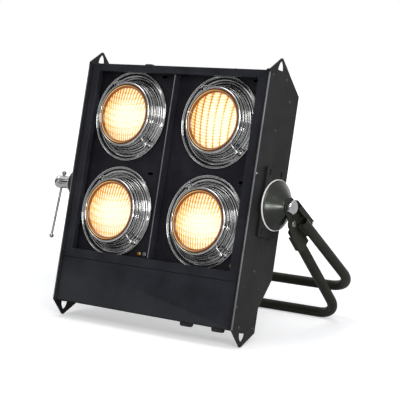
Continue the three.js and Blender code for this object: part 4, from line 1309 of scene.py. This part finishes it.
# places, the way the head faces, the way its cross stands, radius and height, finish
caseScrews = {
    "brassScrews": (
        [(-34.6, 20, 105.7), (172.5, 20, 108.3)], (0, -1, 0), (0, 0, 1), (3.6, 1.8), "screwBrass",
    ),
    "plateScrew": ([(-22, 20, 106.2)], (0, -1, 0), (0, 0, 1), (3.8, 1.6), "zincSteel"),
    "topScrews": ([(127, 12, 448), (193, 12, 448)], (0, 0, 1), (0, 1, 0), (3.4, 2.0), "darkSteel"),
    "rearScrews": (
        [(x, 95, z) for x in (-190, 0, 190) for z in (108, 400)],
        (0, 1, 0), (0, 0, 1), (2.9, 1.3), "darkSteel",
    ),
}
for screwName, screwSpec in caseScrews.items():
    placeHeads(screwName, *screwSpec)


# Pads: a lid catch on the top edge, and a strip behind the lamp plates' joint
catch = {"place": (-68.0, 10.0, 448.0), "length": 17.0, "width": 9.0, "height": 2.6}
seam = {"place": (0.0, 22.2, 90.0), "length": 16.0, "width": 1.0, "height": 356.0}
padCorner = 0.35


def padMesh(name, spec):
    # a rounded pad: a superellipse outline carried up, and drawn in towards its top
    angle = np.linspace(0, 2 * np.pi, 64, endpoint=False)[None, :]
    c, s = np.cos(angle), np.sin(angle)
    wide = np.sign(c) * np.abs(c) ** padCorner * spec["length"] / 2
    deep = np.sign(s) * np.abs(s) ** padCorner * spec["width"] / 2
    top = spec["height"]
    rows = [(0.0, -0.2), (1.0, -0.2), (1.0, top - 1.0), (0.96, top - 0.3), (0.9, top), (0.0, top)]
    shrink, rise = np.array(rows).T[:, :, None]
    points = np.stack([wide * shrink, deep * shrink, rise + 0 * wide], -1)
    return meshOf(name, [(inCasing(points + spec["place"]), False, True)], 40)


# Rolled front edges: the side panels' corners and the divider's edge, in a pale coat that is a
# painted highlight along them
def inCasingBox(node):
    # low and high corner of a node, seen in the casing's own frame
    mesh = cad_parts[node].data
    verts = np.zeros(len(mesh.vertices) * 3)
    mesh.vertices.foreach_get("co", verts)
    local = turnAboutX(verts.reshape(-1, 3) / mm - casingCorner, -lean["casing"])
    return local.min(0), local.max(0)


dividerLow, dividerHigh = inCasingBox("centre_divider")
rolledEdges = {
    "leftRolledEdge": {"across": -207.0, "depth": 1.0, "low": 2.0, "high": 443.5, "radius": 1.5},
    "rightRolledEdge": {"across": 207.0, "depth": 1.0, "low": 2.0, "high": 443.5, "radius": 1.5},
    "dividerEdge": {
        "across": 0.7,
        "depth": dividerLow[1] + 0.6,
        "low": dividerLow[2] + 3.0,
        "high": dividerHigh[2] - 3.0,
        "radius": 0.9,
    },
}


def rolledEdgeMesh(name, spec):
    # a thin round bar with domed ends: a line between two quarter circles, turned
    r = spec["radius"]
    cap = np.linspace(0, np.pi / 2, 6)
    low = np.stack([r * np.sin(cap), spec["low"] - r * np.cos(cap)], 1)
    high = np.stack([r * np.cos(cap), spec["high"] + r * np.sin(cap)], 1)
    bar = turned(np.concatenate([low, high]), 24)[..., [0, 2, 1]]
    return meshOf(name, [(inCasing(bar + (spec["across"], spec["depth"], 0)), False, True)], 60)


for edgeName, edgeSpec in rolledEdges.items():
    edgeMesh = rolledEdgeMesh(edgeName, edgeSpec)
    # painted highlight: the rolled edges get the pale coat
    addPiece(edgeName, edgeMesh, paint["edgeHighlightCoat"], "casing")
addPiece("lidCatch", padMesh("lidCatch", catch), paint["railCoat"], "casing")
addPiece("plateSeam", padMesh("plateSeam", seam), paint["plateCoat"], "casing")
for node in ("left_column_lead", "right_column_lead"):
    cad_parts[node].data.materials.clear()
    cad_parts[node].data.materials.append(paint["leadSleeve"])
print("small parts made")


# Studio: white surround, pale floor, soft lamps
studio = {
    "surround": (0.93, 0.95, 1.0, 1.0),
    "surroundLight": 0.36,
    "floorSize": 14.0,
    "floorTone": (236, 236, 236),
    "lift": (0.42, 0.95),  # brightening of the floor as the camera sees it, near and far
    "liftReach": (0.45, 1.3),
    "aim": (0.0, -0.05, 0.25),
    "cardAim": (0.0, 0.0, 0.25),
    "cardTone": (22, 22, 23),
}
softLights = {
    "keyLight": {"place": (2.4, -2.2, 2.2), "size": 1.5, "power": 46.0},
    "sideLight": {"place": (3.0, 0.2, 1.1), "size": 1.2, "power": 22.0},
    "lowLight": {"place": (2.02, -0.99, 0.22), "size": 0.3, "power": 9.0},
    "topLight": {"place": (-0.3, -0.2, 2.9), "size": 1.6, "power": 24.0},
}
# dark cards that only reflections see
darkCards = {
    "leftCard": {"place": (-1.6, -2.42, 1.0), "size": (2.3, 2.6)},
    "highCard": {"place": (-0.7, -2.6, 2.4), "size": (2.8, 1.6)},
}


def addWorld():
    world = bpy.data.worlds.new("surround")
    scene.world = world
    world.use_nodes = True
    tree = world.node_tree
    tree.nodes.clear()
    path = addNode(tree, "LightPath").outputs
    seen = calc(tree, "MAXIMUM", path["Is Camera Ray"], path["Is Glossy Ray"])
    seen = calc(tree, "MAXIMUM", seen, path["Is Transmission Ray"])
    plainLight = {"Color": studio["surround"], "Strength": studio["surroundLight"]}
    dim = addNode(tree, "Background", plainLight)
    white = addNode(tree, "Background", {"Color": (1, 1, 1, 1), "Strength": 1.0})
    mix = addNode(tree, "MixShader", {0: seen, 1: dim.outputs[0], 2: white.outputs[0]})
    output = tree.nodes.new("ShaderNodeOutputWorld")
    tree.links.new(mix.outputs[0], output.inputs[0])


def addFloor():
    half = studio["floorSize"] / 2
    line = np.linspace(-half, half, 3) / mm
    x, y = np.meshgrid(line, line, indexing="ij")
    mesh = meshOf("floor", [(np.stack([x, y, 0 * x - 0.05], -1), False, False)])
    floor = bpy.data.objects.new("floor", mesh)
    scene.collection.objects.link(floor)
    material = bpy.data.materials.new("paleFloor")
    material.use_nodes = True
    tree = material.node_tree
    shader = tree.nodes["Principled BSDF"]
    shader.inputs["Base Color"].default_value = colour(*studio["floorTone"])
    shader.inputs["Roughness"].default_value = 0.9
    shader.inputs["Specular IOR Level"].default_value = 0.1
    seen = addNode(tree, "LightPath").outputs["Is Camera Ray"]
    place = addNode(tree, "TexCoord").outputs["Object"]
    distance = addNode(tree, "VectorMath", {0: place}, operation="LENGTH").outputs["Value"]
    lift = mapRange(tree, distance, *studio["liftReach"], *studio["lift"])
    shine = addNode(tree, "Emission", {"Strength": calc(tree, "MULTIPLY", seen, lift)})
    both = addNode(tree, "AddShader", {0: shader.outputs[0], 1: shine.outputs[0]})
    tree.links.new(both.outputs[0], tree.nodes["Material Output"].inputs["Surface"])
    mesh.materials.append(material)


def addCard(name, spec):
    # a flat card turned to face the object, seen by glossy rays alone
    wide, high = (np.linspace(-size / 2, size / 2, 3) / mm for size in spec["size"])
    x, y = np.meshgrid(wide, high, indexing="ij")
    aim = Vector(studio["cardAim"]) - Vector(spec["place"])
    turn = np.array(aim.to_track_quat("-Z", "Y").to_matrix())
    points = np.stack([x, y, 0 * x], -1) @ turn.T + np.array(spec["place"]) / mm
    card = bpy.data.objects.new(name, meshOf(name, [(points, False, False)]))
    scene.collection.objects.link(card)
    material = bpy.data.materials.new(name)
    material.use_nodes = True
    shader = material.node_tree.nodes["Principled BSDF"]
    shader.inputs["Base Color"].default_value = colour(*studio["cardTone"])
    shader.inputs["Roughness"].default_value = 1.0
    card.data.materials.append(material)
    card.visible_camera = card.visible_diffuse = False
    card.visible_shadow = card.visible_transmission = False


def addLight(name, spec):
    data = bpy.data.lights.new(name, "AREA")
    data.shape = "SQUARE"
    data.size = spec["size"]
    data.energy = spec["power"]
    lampObject = bpy.data.objects.new(name, data)
    scene.collection.objects.link(lampObject)
    lampObject.location = spec["place"]
    aim = Vector(studio["aim"]) - Vector(spec["place"])
    lampObject.rotation_mode = "QUATERNION"
    lampObject.rotation_quaternion = aim.to_track_quat("-Z", "Y")


addWorld()
addFloor()
for lightName, lightSpec in softLights.items():
    addLight(lightName, lightSpec)
for cardName, cardSpec in darkCards.items():
    addCard(cardName, cardSpec)
scene.view_settings.view_transform = "Standard"
print("studio made")
